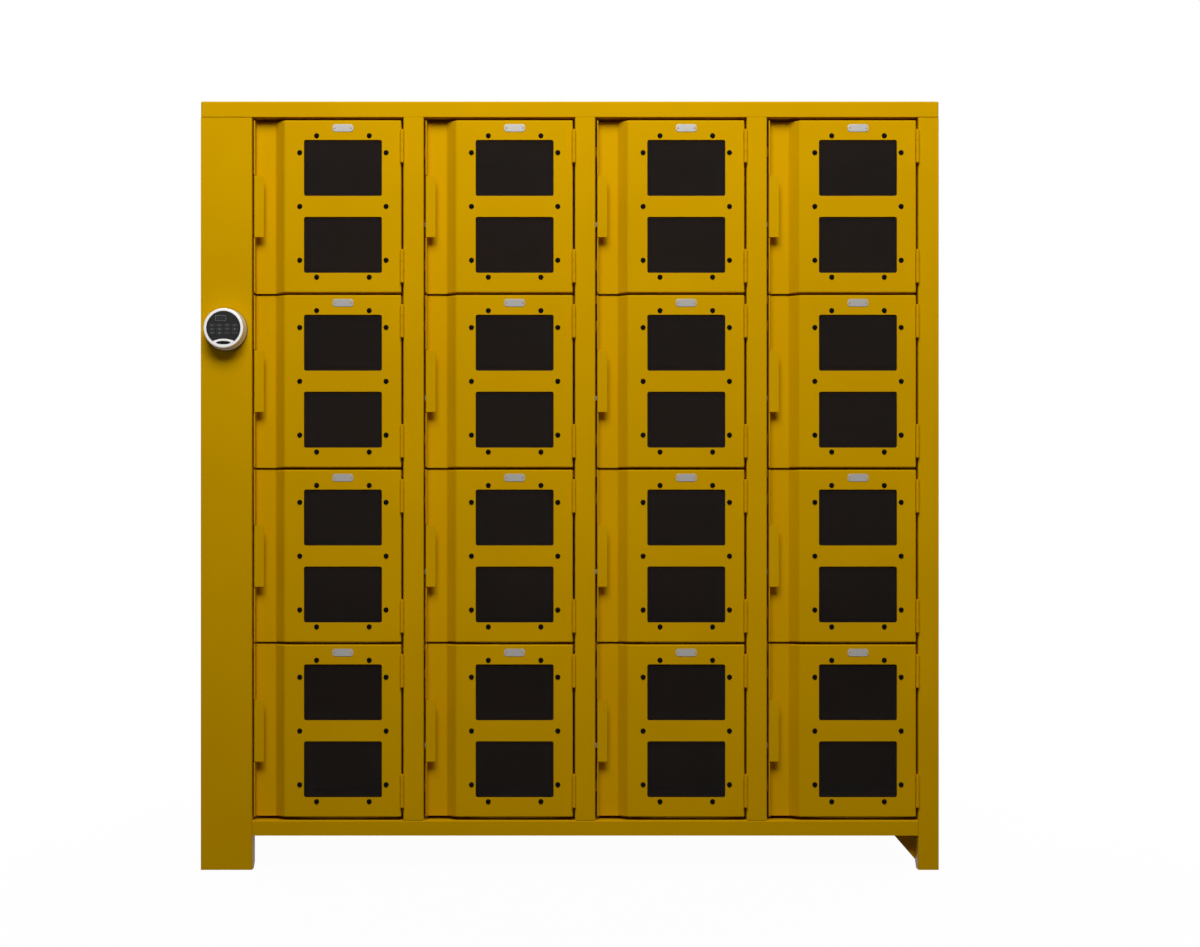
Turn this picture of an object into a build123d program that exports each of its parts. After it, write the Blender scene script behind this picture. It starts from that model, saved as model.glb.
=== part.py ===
from build123d import *

import math
import os

# Sixteen-door steel locker with window doors, a dial keypad and one central lock.
# Units are millimetres. X runs along the front, Y runs from the front to the back and
# Z is up. The origin is under the middle of the whole object, on the floor.

# Overall size of the cabinet, without the keypad that stands proud of its front
width = 1828.8
height = 1905.0
depth = 609.6
rows = 4
columns = 4

# Sheets and plates
frame_sheet = 2.7
door_sheet = 2.7
inner_sheet = 1.9
leg_plate = 4.8
bend_radius = 1.2  # inside radius of a frame bend

# Front frame
lock_panel_width = 127.0
post_width = 50.8
stile_width = 50.8
return_depth = 44.0  # how far posts and stiles reach behind the front
header_height = 39.0
rail_height = 38.0
leg_height = 85.0
return_foot_cut = 15.0

# Legs and gussets
leg_clearance = 1.5  # between a leg and the stile's return
leg_depth = 100.0
gusset_clearance = 3.0  # between the returns and the gussets behind them
gusset_foot_width = 35.0
gusset_top_width = 131.0
gusset_floor_gap = 10.0

# Doors and the gaps around them
latch_gap = 4.5
hinge_gap = 5.0
row_gap = 6.0
end_gap = 8.0
recess_width = 51.0
recess_slope = 25.4
recess_depth = 25.4
door_corner_radius = 5.0
door_edge_radius = 4.0
valley_radius = 3.0
flange_bend_radius = 2.0
handle_width = 25.0
handle_height = 152.4
handle_corner_radius = 3.0

# Windows, their pane and its screws
window_width = 193.0
window_height = 138.7
window_bar = 52.0  # sheet left between the two windows of a door
window_corner_radius = 5.0
screw_offset = 10.5
screw_column_spacing = 130.3
screw_row_spacing = 133.3
screw_radius = 3.0
screw_clearance = 0.2
screw_head_radius = 6.5
screw_head_height = 3.2
screw_head_slope = 25.0  # degrees that the head's side leans in
pane_thickness = 4.8
pane_margin = 21.0
nut_radius = 5.5
nut_height = 5.0

# Number plate
number_plate_width = 52.0
number_plate_height = 18.6
number_plate_sheet = 1.2
number_plate_corner = 7.5
number_plate_drop = 19.5  # from the door's top edge to the plate's middle
rivet_inset = 5.5
rivet_radius = 2.2
rivet_height = 0.8

# Hinges
hinge_length = 80.0
hinge_inset = 25.0
hinge_sheet = 2.0
hinge_leaf_depth = 25.0
knuckle_radius = 4.5
knuckle_proud = 5.0  # from the front to the hinge's axis
knuckle_gap = 0.5
pin_radius = 2.5
pin_clearance = 0.08
pin_head_radius = 3.6
pin_head_height = 1.6

# Door stops
stop_width = 18.0
stop_height = 25.0
stop_sheet = 3.0
stop_inset = 60.0
bumper_radius = 5.0
bumper_height = 3.2
bumper_clearance = 0.3
bumper_edge = 1.0  # tab left beside the bumper

# Partitions, shelves and ceiling
shelf_flange = 20.0
shelf_clearance = 3.9  # between the doors and the shelves' front edges
ceiling_clearance = 0.5

# Central lock: bars with fingers that rise into the doors' keepers
bar_width = 25.0
bar_sheet = 5.0
bar_clearance = 4.0  # between the bars and the plate that closes a post
bar_inset = 15.0  # from a post's left side to its bar
bar_foot = 15.0
bar_rise_above_header = 4.0
finger_radius = 4.0
finger_length = 30.0
finger_reach = 18.5  # from the jamb to the finger
tab_height = 12.0
tab_clearance = 3.0
keeper_sheet = 4.0
keeper_hole_radius = 5.5
keeper_edge = 5.0  # plate left around the keeper's hole
finger_drop = 3.0  # from the keeper to the lowered finger
tie_bar_width = 20.0
tie_bar_sheet = 4.0
guide_sheet = 3.0
guide_clearance = 0.4
guide_inset = 60.0

# Pinion and rack
gear_module = 2.0
gear_root_depth = 2.5  # from the pitch line to the foot of a tooth
pinion_teeth = 16
pressure_angle = 20.0
backlash = 0.5
rack_length = 95.0
rack_below = 62.0  # rack under the dial's axis while the bars are down

# Keypad dial and the lock behind it
dial_height = 1338.5
dial_front = 42.0  # how far the keypad stands proud of the panel
dial_rear_radius = 52.0
dial_front_radius = 49.0
dial_face_radius = 42.0
dial_ledge_radius = 38.5
dial_wall = 4.0
dial_edge_radius = 2.5
base_radius = 52.5
base_height = 6.0
base_edge_radius = 1.0
base_gap = 0.4
spindle_radius = 4.0
spindle_hole_radius = 7.0
lock_case_width = 60.0
lock_case_height = 84.0
lock_case_depth = 28.0
lock_case_corner = 4.0
mat_thickness = 2.6
mat_set_back = 1.4
mat_clearance = 0.3
brow_radius = 63.6  # arc between the keys and the silver segment below them
brow_height = 26.8
oval_width = 35.6
oval_height = 9.8
oval_drop = 37.5
oval_depth = 1.0
key_width = 15.0
key_height = 7.0
key_corner = 1.5
key_raise = 0.8
key_columns = 4
key_rows = 3
key_column_pitch = 18.6
key_row_pitch = 9.6
key_top = 6.6
display_width = 29.0
display_height = 16.8
display_corner = 1.0
display_raise = 0.8
display_x = -6.6
display_z = 24.0
battery_width = 48.5
battery_height = 26.5
battery_depth = 17.5
board_radius = 34.0
board_sheet = 1.6

# Places worked out from the sizes above
front_y = -(depth - dial_front) / 2
back_y = front_y + depth
side_x = width / 2
side_inside = side_x - frame_sheet
back_inside = back_y - frame_sheet
header_bottom = height - header_height
floor_top = leg_height + rail_height
floor_under = floor_top - frame_sheet
return_back = front_y + return_depth
leg_width = stile_width - 2 * frame_sheet - leg_clearance
gusset_back = return_depth + gusset_clearance

first_jamb = -side_x + lock_panel_width
last_jamb = side_x - stile_width
opening_width = (last_jamb - first_jamb - (columns - 1) * post_width) / columns
door_width = opening_width - latch_gap - hinge_gap
door_height = (header_bottom - floor_top - 2 * end_gap - (rows - 1) * row_gap) / rows
column_pitch = opening_width + post_width
row_pitch = door_height + row_gap
top_door_bottom = header_bottom - end_gap - door_height

pan_depth = recess_depth + door_sheet
shelf_front = pan_depth + shelf_clearance
proud_left = recess_width + recess_slope
proud_middle = (proud_left + door_width) / 2
windows_height = 2 * window_height + window_bar
pane_front = door_sheet
pane_back = door_sheet + pane_thickness

hinge_axis_x = door_width + hinge_gap / 2
knuckle_third = hinge_length / 3

pitch_radius = gear_module * pinion_teeth / 2
bar_lift = pitch_radius * math.pi / 2  # a quarter turn of the pinion
bar_top = header_bottom + bar_rise_above_header
bar_back = return_depth - bar_clearance
bar_front = bar_back - bar_sheet
bar_depth = (bar_front + bar_back) / 2
keeper_reach = bar_depth + keeper_hole_radius + keeper_edge - pan_depth
tab_notch_front = bar_front - tab_clearance / 2
notch_depth = return_depth - tab_notch_front
notch_height = tab_height + bar_lift + 2 * tab_clearance

dial_x = -side_x + lock_panel_width / 2
dial_back = base_height + base_gap
mat_front = dial_front - mat_set_back


def level(z):
    """Horizontal sketch plane at a height."""
    return Plane.XY.offset(z)


def upright(back, left=0.0, bottom=0.0):
    """Sketch plane parallel to the doors, so far behind the front; extrudes forward."""
    return Plane(origin=(left, front_y + back, bottom), x_dir=(1, 0, 0), z_dir=(0, -1, 0))


def across(x):
    """Sketch plane parallel to the side panels: local x is Y and local y is Z."""
    return Plane(origin=(x, 0, 0), x_dir=(0, 1, 0), z_dir=(1, 0, 0))


def block(low, high):
    """A flat plate or bar between its lowest and highest corners."""
    sizes = [b - a for a, b in zip(low, high)]
    with BuildPart() as plain:
        with Locations(low):
            Box(*sizes, align=(Align.MIN, Align.MIN, Align.MIN))
    return plain.part


def write(name, *pieces):
    """Write one node: its solids stay separate pieces."""
    node = pieces[0] if len(pieces) == 1 else Compound(children=list(pieces))
    node.label = name
    export_step(node, f"parts/{name}.step")


def jamb_x(column):
    """Left side of a door opening."""
    return first_jamb + column * column_pitch


def door_bottom(row):
    """Lower edge of a door; row 0 is the top one."""
    return top_door_bottom - row * row_pitch


def placed(piece, column, row):
    """Copy a piece made for the door at the origin to one opening."""
    return piece.moved(Location((jamb_x(column) + latch_gap, front_y, door_bottom(row))))


# Side panels stand between the front frame and the back edge
def make_side_panel(inner, outer):
    return block((inner, front_y + frame_sheet, leg_height), (outer, back_y, header_bottom))


# The back panel closes the cabinet between the side panels
def make_back_panel():
    return block((-side_inside, back_inside, leg_height), (side_inside, back_y, header_bottom))


# The roof is a pan turned down all round; its front flange is the header
def make_roof_cap():
    middle_y = (front_y + back_y) / 2
    with BuildPart() as roof:
        with BuildSketch(level(header_bottom)):
            with Locations((0, middle_y)):
                Rectangle(width, depth)
        extrude(amount=header_height)
        top = roof.faces().sort_by(Axis.Z)[-1]
        bend_edges = roof.edges().filter_by(Axis.Z) + top.edges()
        fillet(bend_edges, radius=bend_radius + frame_sheet)
        underside = roof.faces().sort_by(Axis.Z)[0]
        offset(amount=-frame_sheet, openings=underside)
    return roof.part


# The ceiling lies on the posts and partitions, with a slot for each lock bar
def make_ceiling_panel():
    reach_x = side_inside - ceiling_clearance
    front = front_y + frame_sheet + ceiling_clearance
    back = back_inside - ceiling_clearance
    with BuildPart() as ceiling:
        with BuildSketch(level(header_bottom)):
            with Locations((0, (front + back) / 2)):
                Rectangle(2 * reach_x, back - front)
            slots = [(bar_middle(column), front_y + bar_depth) for column in range(columns)]
            with Locations(*slots):
                slot_width = bar_width + 2 * tab_clearance
                slot_depth = bar_sheet + 2 * tab_clearance
                Rectangle(slot_width, slot_depth, mode=Mode.SUBTRACT)
        extrude(amount=inner_sheet)
    return ceiling.part


# The floor pan carries the lowest doors' compartments; its front flange is the rail
def make_floor_pan():
    with BuildPart() as floor:
        with BuildSketch(level(floor_under)):
            with BuildLine():
                Polyline(
                    (first_jamb, front_y),
                    (last_jamb, front_y),
                    (last_jamb, return_back),
                    (side_inside, return_back),
                    (side_inside, back_inside),
                    (-side_inside, back_inside),
                    (-side_inside, return_back),
                    (first_jamb, return_back),
                    close=True,
                )
            make_face()
        extrude(amount=frame_sheet)
        with BuildSketch(upright(0, first_jamb, leg_height)):
            Rectangle(last_jamb - first_jamb, rail_height, align=(Align.MIN, Align.MIN))
        extrude(amount=-frame_sheet)
        front_edges = floor.edges().filter_by(Axis.X).group_by(Axis.Y)[0]
        fillet(front_edges.sort_by(Axis.Z)[-1], radius=bend_radius)
    return floor.part


# A stile or the lock panel: a front plate and one return, down to the floor
def make_stile(outer, jamb, notched):
    side = Side.LEFT if outer < jamb else Side.RIGHT
    with BuildPart() as stile:
        with BuildSketch(level(0)):
            with BuildLine():
                FilletPolyline(
                    (outer, front_y),
                    (jamb, front_y),
                    (jamb, return_back),
                    radius=bend_radius + frame_sheet,
                )
                offset(amount=frame_sheet, side=side)
            make_face()
        extrude(amount=header_bottom)
        foot = stile.edges().filter_by(Axis.X).group_by(Axis.Y)[-1].sort_by(Axis.Z)[0]
        chamfer(foot, length=return_foot_cut)
        if notched:
            with BuildSketch(across(jamb - 2 * frame_sheet)):
                with Locations(*notch_places()):
                    Rectangle(notch_depth, notch_height, align=(Align.MIN, Align.MIN))
            extrude(amount=3 * frame_sheet, mode=Mode.SUBTRACT)
            with BuildSketch(upright(0)):
                with Locations((dial_x, dial_height)):
                    Circle(spindle_hole_radius)
            extrude(amount=-frame_sheet, mode=Mode.SUBTRACT)
    return stile.part


def bar_middle(column):
    """Middle of the lock bar that serves a column of doors."""
    return jamb_x(column) - post_width + bar_inset + bar_width / 2


def finger_top(row):
    """Top of a lowered finger, under the keeper of its door."""
    return door_bottom(row) + door_height / 2 - finger_drop


def notch_places():
    """Lower front corners of the notches that the lock bar's tabs rise in."""
    drop = finger_length + tab_height + tab_clearance
    return [(front_y + tab_notch_front, finger_top(row) - drop) for row in range(rows)]


# A post: a channel between two columns of doors
def make_post(column):
    right = jamb_x(column)
    left = right - post_width
    with BuildPart() as post:
        with BuildSketch(level(floor_top)):
            with BuildLine():
                FilletPolyline(
                    (left, return_back),
                    (left, front_y),
                    (right, front_y),
                    (right, return_back),
                    radius=bend_radius + frame_sheet,
                )
                offset(amount=frame_sheet, side=Side.LEFT)
            make_face()
        extrude(amount=header_bottom - floor_top)
        with BuildSketch(across(right - 2 * frame_sheet)):
            with Locations(*notch_places()):
                Rectangle(notch_depth, notch_height, align=(Align.MIN, Align.MIN))
        extrude(amount=3 * frame_sheet, mode=Mode.SUBTRACT)
    return post.part


# Partitions: a web behind each post, the plate that closes the post, and the lock bay wall
def make_partitions():
    pieces = [
        block(
            (first_jamb - inner_sheet, return_back, floor_top),
            (first_jamb, back_inside, header_bottom),
        )
    ]
    for column in range(1, columns):
        right = jamb_x(column)
        middle = right - post_width / 2
        web_front = return_back + inner_sheet
        pieces.append(
            block((right - post_width, return_back, floor_top), (right, web_front, header_bottom))
        )
        pieces.append(
            block(
                (middle - inner_sheet / 2, web_front, floor_top),
                (middle + inner_sheet / 2, back_inside, header_bottom),
            )
        )
    return pieces


def bay_left(column):
    """Left wall of a compartment, behind the posts."""
    if column == 0:
        return first_jamb
    return jamb_x(column) - post_width / 2 + inner_sheet / 2


def bay_right(column):
    """Right wall of a compartment, behind the posts."""
    if column == columns - 1:
        return side_inside
    return jamb_x(column + 1) - post_width / 2 - inner_sheet / 2


# A shelf reaches forward between the posts and turns down at its front
def make_shelf(column, row):
    top = door_bottom(row) - row_gap / 2
    left = jamb_x(column)
    behind_posts = return_back + inner_sheet
    bay_width = bay_right(column) - bay_left(column)
    with BuildPart() as shelf:
        with BuildSketch(level(top - inner_sheet)):
            with Locations((left, front_y + shelf_front)):
                tongue = behind_posts - front_y - shelf_front
                Rectangle(opening_width, tongue, align=(Align.MIN, Align.MIN))
            with Locations((bay_left(column), behind_posts)):
                Rectangle(bay_width, back_inside - behind_posts, align=(Align.MIN, Align.MIN))
        extrude(amount=inner_sheet)
        with BuildSketch(upright(shelf_front, left, top - shelf_flange)):
            Rectangle(opening_width, shelf_flange, align=(Align.MIN, Align.MIN))
        extrude(amount=-inner_sheet)
        front_edges = shelf.edges().filter_by(Axis.X).group_by(Axis.Y)[0]
        fillet(front_edges.sort_by(Axis.Z)[-1], radius=bend_radius)
    return shelf.part


# A leg is an angle of plate behind the front frame or in front of the back edge
def make_leg(side, end):
    outer = side * side_inside
    inner = side * (side_inside - leg_width)
    face = front_y + frame_sheet if end < 0 else back_inside
    reach = face - end * leg_depth
    with BuildPart() as leg:
        with BuildSketch(level(0)):
            with BuildLine():
                Polyline(
                    (outer, face),
                    (inner, face),
                    (inner, face - end * leg_plate),
                    (outer - side * leg_plate, face - end * leg_plate),
                    (outer - side * leg_plate, reach),
                    (outer, reach),
                    close=True,
                )
            make_face()
        extrude(amount=floor_under)
    return leg.part


# A gusset joins a leg to the underside of the floor pan
def make_gusset(side, end):
    root = side * (side_inside - leg_plate)
    face = front_y + gusset_back if end < 0 else back_y - gusset_back
    with BuildPart() as gusset:
        with BuildSketch(Plane(origin=(0, face, 0), x_dir=(1, 0, 0), z_dir=(0, end, 0))):
            flip = 1 if end < 0 else -1
            with BuildLine():
                Polyline(
                    (root, flip * gusset_floor_gap),
                    (root - side * gusset_foot_width, flip * gusset_floor_gap),
                    (root - side * gusset_top_width, flip * floor_under),
                    (root, flip * floor_under),
                    close=True,
                )
            make_face()
        extrude(amount=-leg_plate)
    return gusset.part


# The door's sheet: a flange on the latch side, a recess, a slope and the proud window field
def door_section():
    """Front surface of the door, seen from above."""
    return (
        (door_sheet, 0),
        (door_sheet, recess_depth),
        (recess_width, recess_depth),
        (proud_left, 0),
        (door_width, 0),
        (door_width, pan_depth),
    )


def make_door_pan():
    radii = [flange_bend_radius, valley_radius, door_corner_radius, door_edge_radius]
    with BuildPart() as pan:
        with BuildSketch(level(0)):
            with BuildLine():
                FilletPolyline(*door_section(), radius=radii)
                offset(amount=door_sheet, side=Side.LEFT)
            make_face()
        extrude(amount=door_height)

        # Flanges turned back along the top and the bottom of the proud field
        flange_left = recess_width + recess_slope * valley_radius / recess_depth
        flange_start = (flange_left, recess_depth - valley_radius)
        for flange_bottom in (0, door_height - door_sheet):
            with BuildSketch(level(flange_bottom)):
                with BuildLine():
                    FilletPolyline(flange_start, *door_section()[3:], radius=radii[2:])
                    Polyline(door_section()[-1], (flange_left, pan_depth), flange_start)
                make_face()
            extrude(amount=door_sheet)

        # Pull lip, bent inwards from the latch-side flange
        lip_bottom = (door_height - handle_height) / 2
        with BuildSketch(level(lip_bottom)):
            with BuildLine():
                FilletPolyline(
                    (handle_width, door_sheet),
                    (door_sheet, door_sheet),
                    (door_sheet, recess_depth / 2),
                    radius=flange_bend_radius / 2,
                )
                offset(amount=door_sheet, side=Side.LEFT)
            make_face()
        extrude(amount=handle_height)
        lip_corners = [
            edge
            for edge in pan.edges().filter_by(Axis.Y)
            if abs(edge.center().X - handle_width) < door_sheet / 4
        ]
        fillet(lip_corners, radius=handle_corner_radius)

        # Corners of the sheet
        corner_edges = [
            edge
            for edge in pan.edges().filter_by(Axis.X)
            if edge.center().X < door_sheet and edge.center().Y < door_sheet
        ]
        chamfer(corner_edges, length=door_edge_radius)

        # Windows and screw holes
        with BuildSketch(door_face(0)):
            with Locations(*window_centres()):
                RectangleRounded(window_width, window_height, window_corner_radius)
            with Locations(*screw_centres()):
                Circle(screw_radius + screw_clearance)
        extrude(amount=-door_sheet, mode=Mode.SUBTRACT)
    return pan.part


def door_face(back):
    """Sketch plane on the door at the origin, so far behind its face."""
    return Plane(origin=(proud_middle, back, door_height / 2), x_dir=(1, 0, 0), z_dir=(0, -1, 0))


def window_centres():
    offset_z = (window_height + window_bar) / 2
    return [(0, -offset_z), (0, offset_z)]


def screw_centres():
    """Ten screws: three down each side and two along the top and the bottom."""
    side = window_width / 2 + screw_offset
    end = windows_height / 2 + screw_offset
    sides = [(x, z) for x in (-side, side) for z in (-screw_row_spacing, 0, screw_row_spacing)]
    half = screw_column_spacing / 2
    return sides + [(x, z) for x in (-half, half) for z in (-end, end)]


def make_door_leaf(bottom):
    """Hinge leaf on the door, with the middle knuckle."""
    low = bottom + knuckle_third + knuckle_gap
    with BuildPart() as leaf:
        with BuildSketch(level(bottom)):
            with Locations((door_width, pin_radius)):
                leaf_size = hinge_leaf_depth - pin_radius
                Rectangle(hinge_sheet, leaf_size, align=(Align.MIN, Align.MIN))
        extrude(amount=hinge_length)
        with BuildSketch(level(low)):
            with Locations((hinge_axis_x, -knuckle_proud)):
                Circle(knuckle_radius)
            with Locations((door_width, -knuckle_proud)):
                Rectangle(hinge_sheet, knuckle_proud + knuckle_radius, align=(Align.MIN, Align.MIN))
            with Locations((hinge_axis_x, -knuckle_proud)):
                Circle(pin_radius + pin_clearance, mode=Mode.SUBTRACT)
        extrude(amount=knuckle_third - 2 * knuckle_gap)
    return leaf.part


def make_frame_leaf(bottom):
    """Hinge leaf on the post, with the two outer knuckles."""
    jamb = door_width + hinge_gap
    with BuildPart() as leaf:
        with BuildSketch(level(bottom)):
            with Locations((jamb, pin_radius)):
                leaf_size = hinge_leaf_depth - pin_radius
                Rectangle(hinge_sheet, leaf_size, align=(Align.MAX, Align.MIN))
        extrude(amount=hinge_length)
        for low in (bottom, bottom + 2 * knuckle_third):
            with BuildSketch(level(low)):
                with Locations((hinge_axis_x, -knuckle_proud)):
                    Circle(knuckle_radius)
                with Locations((jamb, -knuckle_proud)):
                    lap = knuckle_proud + knuckle_radius
                    Rectangle(hinge_sheet, lap, align=(Align.MAX, Align.MIN))
                with Locations((hinge_axis_x, -knuckle_proud)):
                    Circle(pin_radius + pin_clearance, mode=Mode.SUBTRACT)
            extrude(amount=knuckle_third)
    return leaf.part


def make_hinge_pin(bottom):
    """Pin through the knuckles, with a head at each end."""
    with BuildPart() as pin:
        with BuildSketch(level(bottom)):
            with Locations((hinge_axis_x, -knuckle_proud)):
                Circle(pin_radius)
        extrude(amount=hinge_length)
        for end, step in ((bottom, -1), (bottom + hinge_length, 1)):
            with BuildSketch(level(end)):
                with Locations((hinge_axis_x, -knuckle_proud)):
                    Circle(pin_head_radius)
            extrude(amount=step * pin_head_height)
    return pin.part


def make_keeper():
    """Plate behind the recess with the hole that a lock finger rises into."""
    with BuildPart() as keeper:
        with BuildSketch(level(door_height / 2)):
            finger_x = finger_reach - latch_gap
            with Locations((finger_x, pan_depth)):
                keeper_width = 2 * (keeper_hole_radius + keeper_edge)
                Rectangle(keeper_width, keeper_reach, align=(Align.CENTER, Align.MIN))
            with Locations((finger_x, bar_depth)):
                Circle(keeper_hole_radius, mode=Mode.SUBTRACT)
        extrude(amount=keeper_sheet)
        fillet(keeper.edges().filter_by(Axis.Z).group_by(Axis.Y)[-1], radius=valley_radius)
    return keeper.part


def make_number_plate():
    """Plate with rounded ends and two rivets, over the windows."""
    drop = door_height / 2 - number_plate_drop
    rivet_x = number_plate_width / 2 - rivet_inset
    with BuildPart() as plate:
        with BuildSketch(door_face(0)):
            with Locations((0, drop)):
                RectangleRounded(number_plate_width, number_plate_height, number_plate_corner)
        extrude(amount=number_plate_sheet)
        with BuildSketch(door_face(-number_plate_sheet)):
            with Locations((-rivet_x, drop), (rivet_x, drop)):
                Circle(rivet_radius)
        extrude(amount=rivet_height)
    return plate.part


def make_pane():
    with BuildPart() as pane:
        with BuildSketch(door_face(pane_front)):
            pane_width = window_width + 2 * pane_margin
            RectangleRounded(pane_width, windows_height + 2 * pane_margin, window_corner_radius)
            with Locations(*screw_centres()):
                Circle(screw_radius + screw_clearance, mode=Mode.SUBTRACT)
        extrude(amount=-pane_thickness)
    return pane.part


def make_screws():
    """Button-head screws, each with its nut behind the pane."""
    shank = pane_back + nut_height
    with BuildPart() as screws:
        with BuildSketch(door_face(0)):
            with Locations(*screw_centres()):
                Circle(screw_radius)
        extrude(amount=-shank)
        with BuildSketch(door_face(0)):
            with Locations(*screw_centres()):
                Circle(screw_head_radius)
        extrude(amount=screw_head_height, taper=screw_head_slope)
        with BuildSketch(door_face(pane_back)):
            with Locations(*screw_centres()):
                RegularPolygon(nut_radius, 6)
        extrude(amount=-nut_height)
    return list(screws.part.solids())


def make_door_stop(bottom):
    """Tab welded to the latch-side jamb behind the recess."""
    front = pan_depth + bumper_clearance + bumper_height
    return block(
        (-latch_gap, front, bottom),
        (stop_width - latch_gap, front + stop_sheet, bottom + stop_height),
    )


def make_bumper(bottom):
    """Rubber button on a door stop."""
    front = pan_depth + bumper_clearance + bumper_height
    bumper_x = stop_width - latch_gap - bumper_radius - bumper_edge
    with BuildPart() as bumper:
        with BuildSketch(Plane(origin=(0, front, 0), x_dir=(1, 0, 0), z_dir=(0, -1, 0))):
            with Locations((bumper_x, bottom + stop_height / 2)):
                Circle(bumper_radius)
        extrude(amount=bumper_height)
        fillet(bumper.edges().group_by(Axis.Y)[0], radius=bumper_height / 4)
    return bumper.part


# A lock bar runs up inside a post; each tab carries a finger out past the jamb
def make_lock_bar(column):
    middle = bar_middle(column)
    jamb = jamb_x(column)
    with BuildPart() as bar:
        with BuildSketch(level(floor_top + bar_foot)):
            with Locations((middle, front_y + bar_depth)):
                Rectangle(bar_width, bar_sheet)
        extrude(amount=bar_top - floor_top - bar_foot)
        for row in range(rows):
            tab_top = finger_top(row) - finger_length
            tab_end = jamb + finger_reach + finger_radius
            with BuildSketch(level(tab_top - tab_height)):
                with Locations((middle, front_y + bar_depth)):
                    reach = tab_end - middle
                    Rectangle(reach, bar_sheet, align=(Align.MIN, Align.CENTER))
            extrude(amount=tab_height)
            with BuildSketch(level(tab_top - tab_height)):
                with Locations((jamb + finger_reach, front_y + bar_depth)):
                    Circle(finger_radius)
            extrude(amount=tab_height + finger_length)
    return bar.part


# The tie bar lies on the four lock bars inside the roof
def make_tie_bar():
    left = bar_middle(0) - bar_width / 2
    right = bar_middle(columns - 1) + bar_width / 2
    middle = front_y + bar_depth
    return block(
        (left, middle - tie_bar_width / 2, bar_top),
        (right, middle + tie_bar_width / 2, bar_top + tie_bar_sheet),
    )


# Each lock bar slides in two guide plates fixed across its channel
def make_bar_guide(column, bottom):
    right = jamb_x(column) - frame_sheet
    left = jamb_x(column) - post_width + frame_sheet
    with BuildPart() as guide:
        with BuildSketch(level(bottom)):
            with Locations((left, front_y + frame_sheet)):
                reach = return_depth - frame_sheet
                Rectangle(right - left, reach, align=(Align.MIN, Align.MIN))
            with Locations((bar_middle(column), front_y + bar_depth)):
                slot_depth = bar_sheet + 2 * guide_clearance
                Rectangle(bar_width + 2 * guide_clearance, slot_depth, mode=Mode.SUBTRACT)
            corners = [(left, front_y + frame_sheet), (right, front_y + frame_sheet)]
            with Locations(*corners):
                relief = 2 * (bend_radius + frame_sheet)
                Rectangle(relief, relief, mode=Mode.SUBTRACT)
        extrude(amount=guide_sheet)
    return guide.part


# The rack is fixed to the lock bay's bar and meshes with the pinion on the dial's spindle
def make_drive_rack():
    bar_left = bar_middle(0) - bar_width / 2
    pitch_x = dial_x + pitch_radius
    root_x = pitch_x + gear_root_depth
    tip_x = pitch_x - gear_module
    tooth_pitch = math.pi * gear_module
    lean = math.tan(math.radians(pressure_angle))
    half = tooth_pitch / 4 - backlash / 4
    low = dial_height - rack_below
    first = math.ceil((low + tooth_pitch / 2 - dial_height) / tooth_pitch)
    last = math.floor((low + rack_length - tooth_pitch / 2 - dial_height) / tooth_pitch)
    with BuildPart() as rack:
        with BuildSketch(upright(bar_front)):
            with Locations((root_x, low)):
                Rectangle(bar_left - root_x, rack_length, align=(Align.MIN, Align.MIN))
            for number in range(first, last + 1):
                middle = dial_height + number * tooth_pitch
                wide = half + lean * (root_x - pitch_x)
                narrow = half - lean * (pitch_x - tip_x)
                with BuildLine():
                    Polyline(
                        (root_x, middle - wide),
                        (tip_x, middle - narrow),
                        (tip_x, middle + narrow),
                        (root_x, middle + wide),
                        close=True,
                    )
                make_face()
        extrude(amount=-bar_sheet)
    return rack.part


def involute(base, radius):
    """Polar angle that an involute flank has turned through at a radius."""
    pressure = math.acos(base / radius)
    return math.tan(pressure) - pressure


def pinion_tooth(direction):
    """Outline of one pinion tooth about its middle line, as polar points."""
    base = pitch_radius * math.cos(math.radians(pressure_angle))
    tip = pitch_radius + gear_module
    root = pitch_radius - gear_root_depth
    half_angle = math.pi / (2 * pinion_teeth) - backlash / (4 * pitch_radius)
    at_pitch = half_angle + involute(base, pitch_radius)
    steps = 4
    radii = [base + (tip - base) * step / steps for step in range(steps + 1)]
    flank = [(radius, at_pitch - involute(base, radius)) for radius in radii]
    flank = [(root - gear_module / 2, flank[0][1])] + flank
    right = [polar(radius, direction - angle) for radius, angle in flank]
    left = [polar(radius, direction + angle) for radius, angle in reversed(flank)]
    return right + left


def polar(radius, angle):
    return (radius * math.cos(angle), radius * math.sin(angle))


# Spindle with its pinion, turned by the dial and passing through the lock case
def make_dial_spindle():
    root = pitch_radius - gear_root_depth
    with BuildPart() as spindle:
        with BuildSketch(upright(bar_back, dial_x, dial_height)):
            Circle(spindle_radius)
        extrude(amount=bar_back + dial_back)
        with BuildSketch(upright(bar_back, dial_x, dial_height)):
            Circle(root)
            for tooth in range(pinion_teeth):
                # A gap faces the rack, because a rack tooth lies on the dial's axis
                direction = (tooth + 0.5) * 2 * math.pi / pinion_teeth
                with BuildLine():
                    Polyline(*pinion_tooth(direction), close=True)
                make_face()
        extrude(amount=bar_sheet)
    return spindle.part


# Lock case behind the panel, with a clear bore for the spindle
def make_lock_case():
    with BuildPart() as case:
        with BuildSketch(upright(frame_sheet, dial_x, dial_height)):
            RectangleRounded(lock_case_width, lock_case_height, lock_case_corner)
            Circle(spindle_hole_radius, mode=Mode.SUBTRACT)
        extrude(amount=-lock_case_depth)
    return case.part


# Fixed ring under the dial
def make_keypad_base():
    with BuildPart() as base:
        with BuildSketch(upright(0, dial_x, dial_height)):
            Circle(base_radius)
            Circle(spindle_hole_radius, mode=Mode.SUBTRACT)
        extrude(amount=base_height)
        fillet(base.edges().group_by(Axis.Y)[0].sort_by(SortBy.LENGTH)[-1], radius=base_edge_radius)
    return base.part


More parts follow.
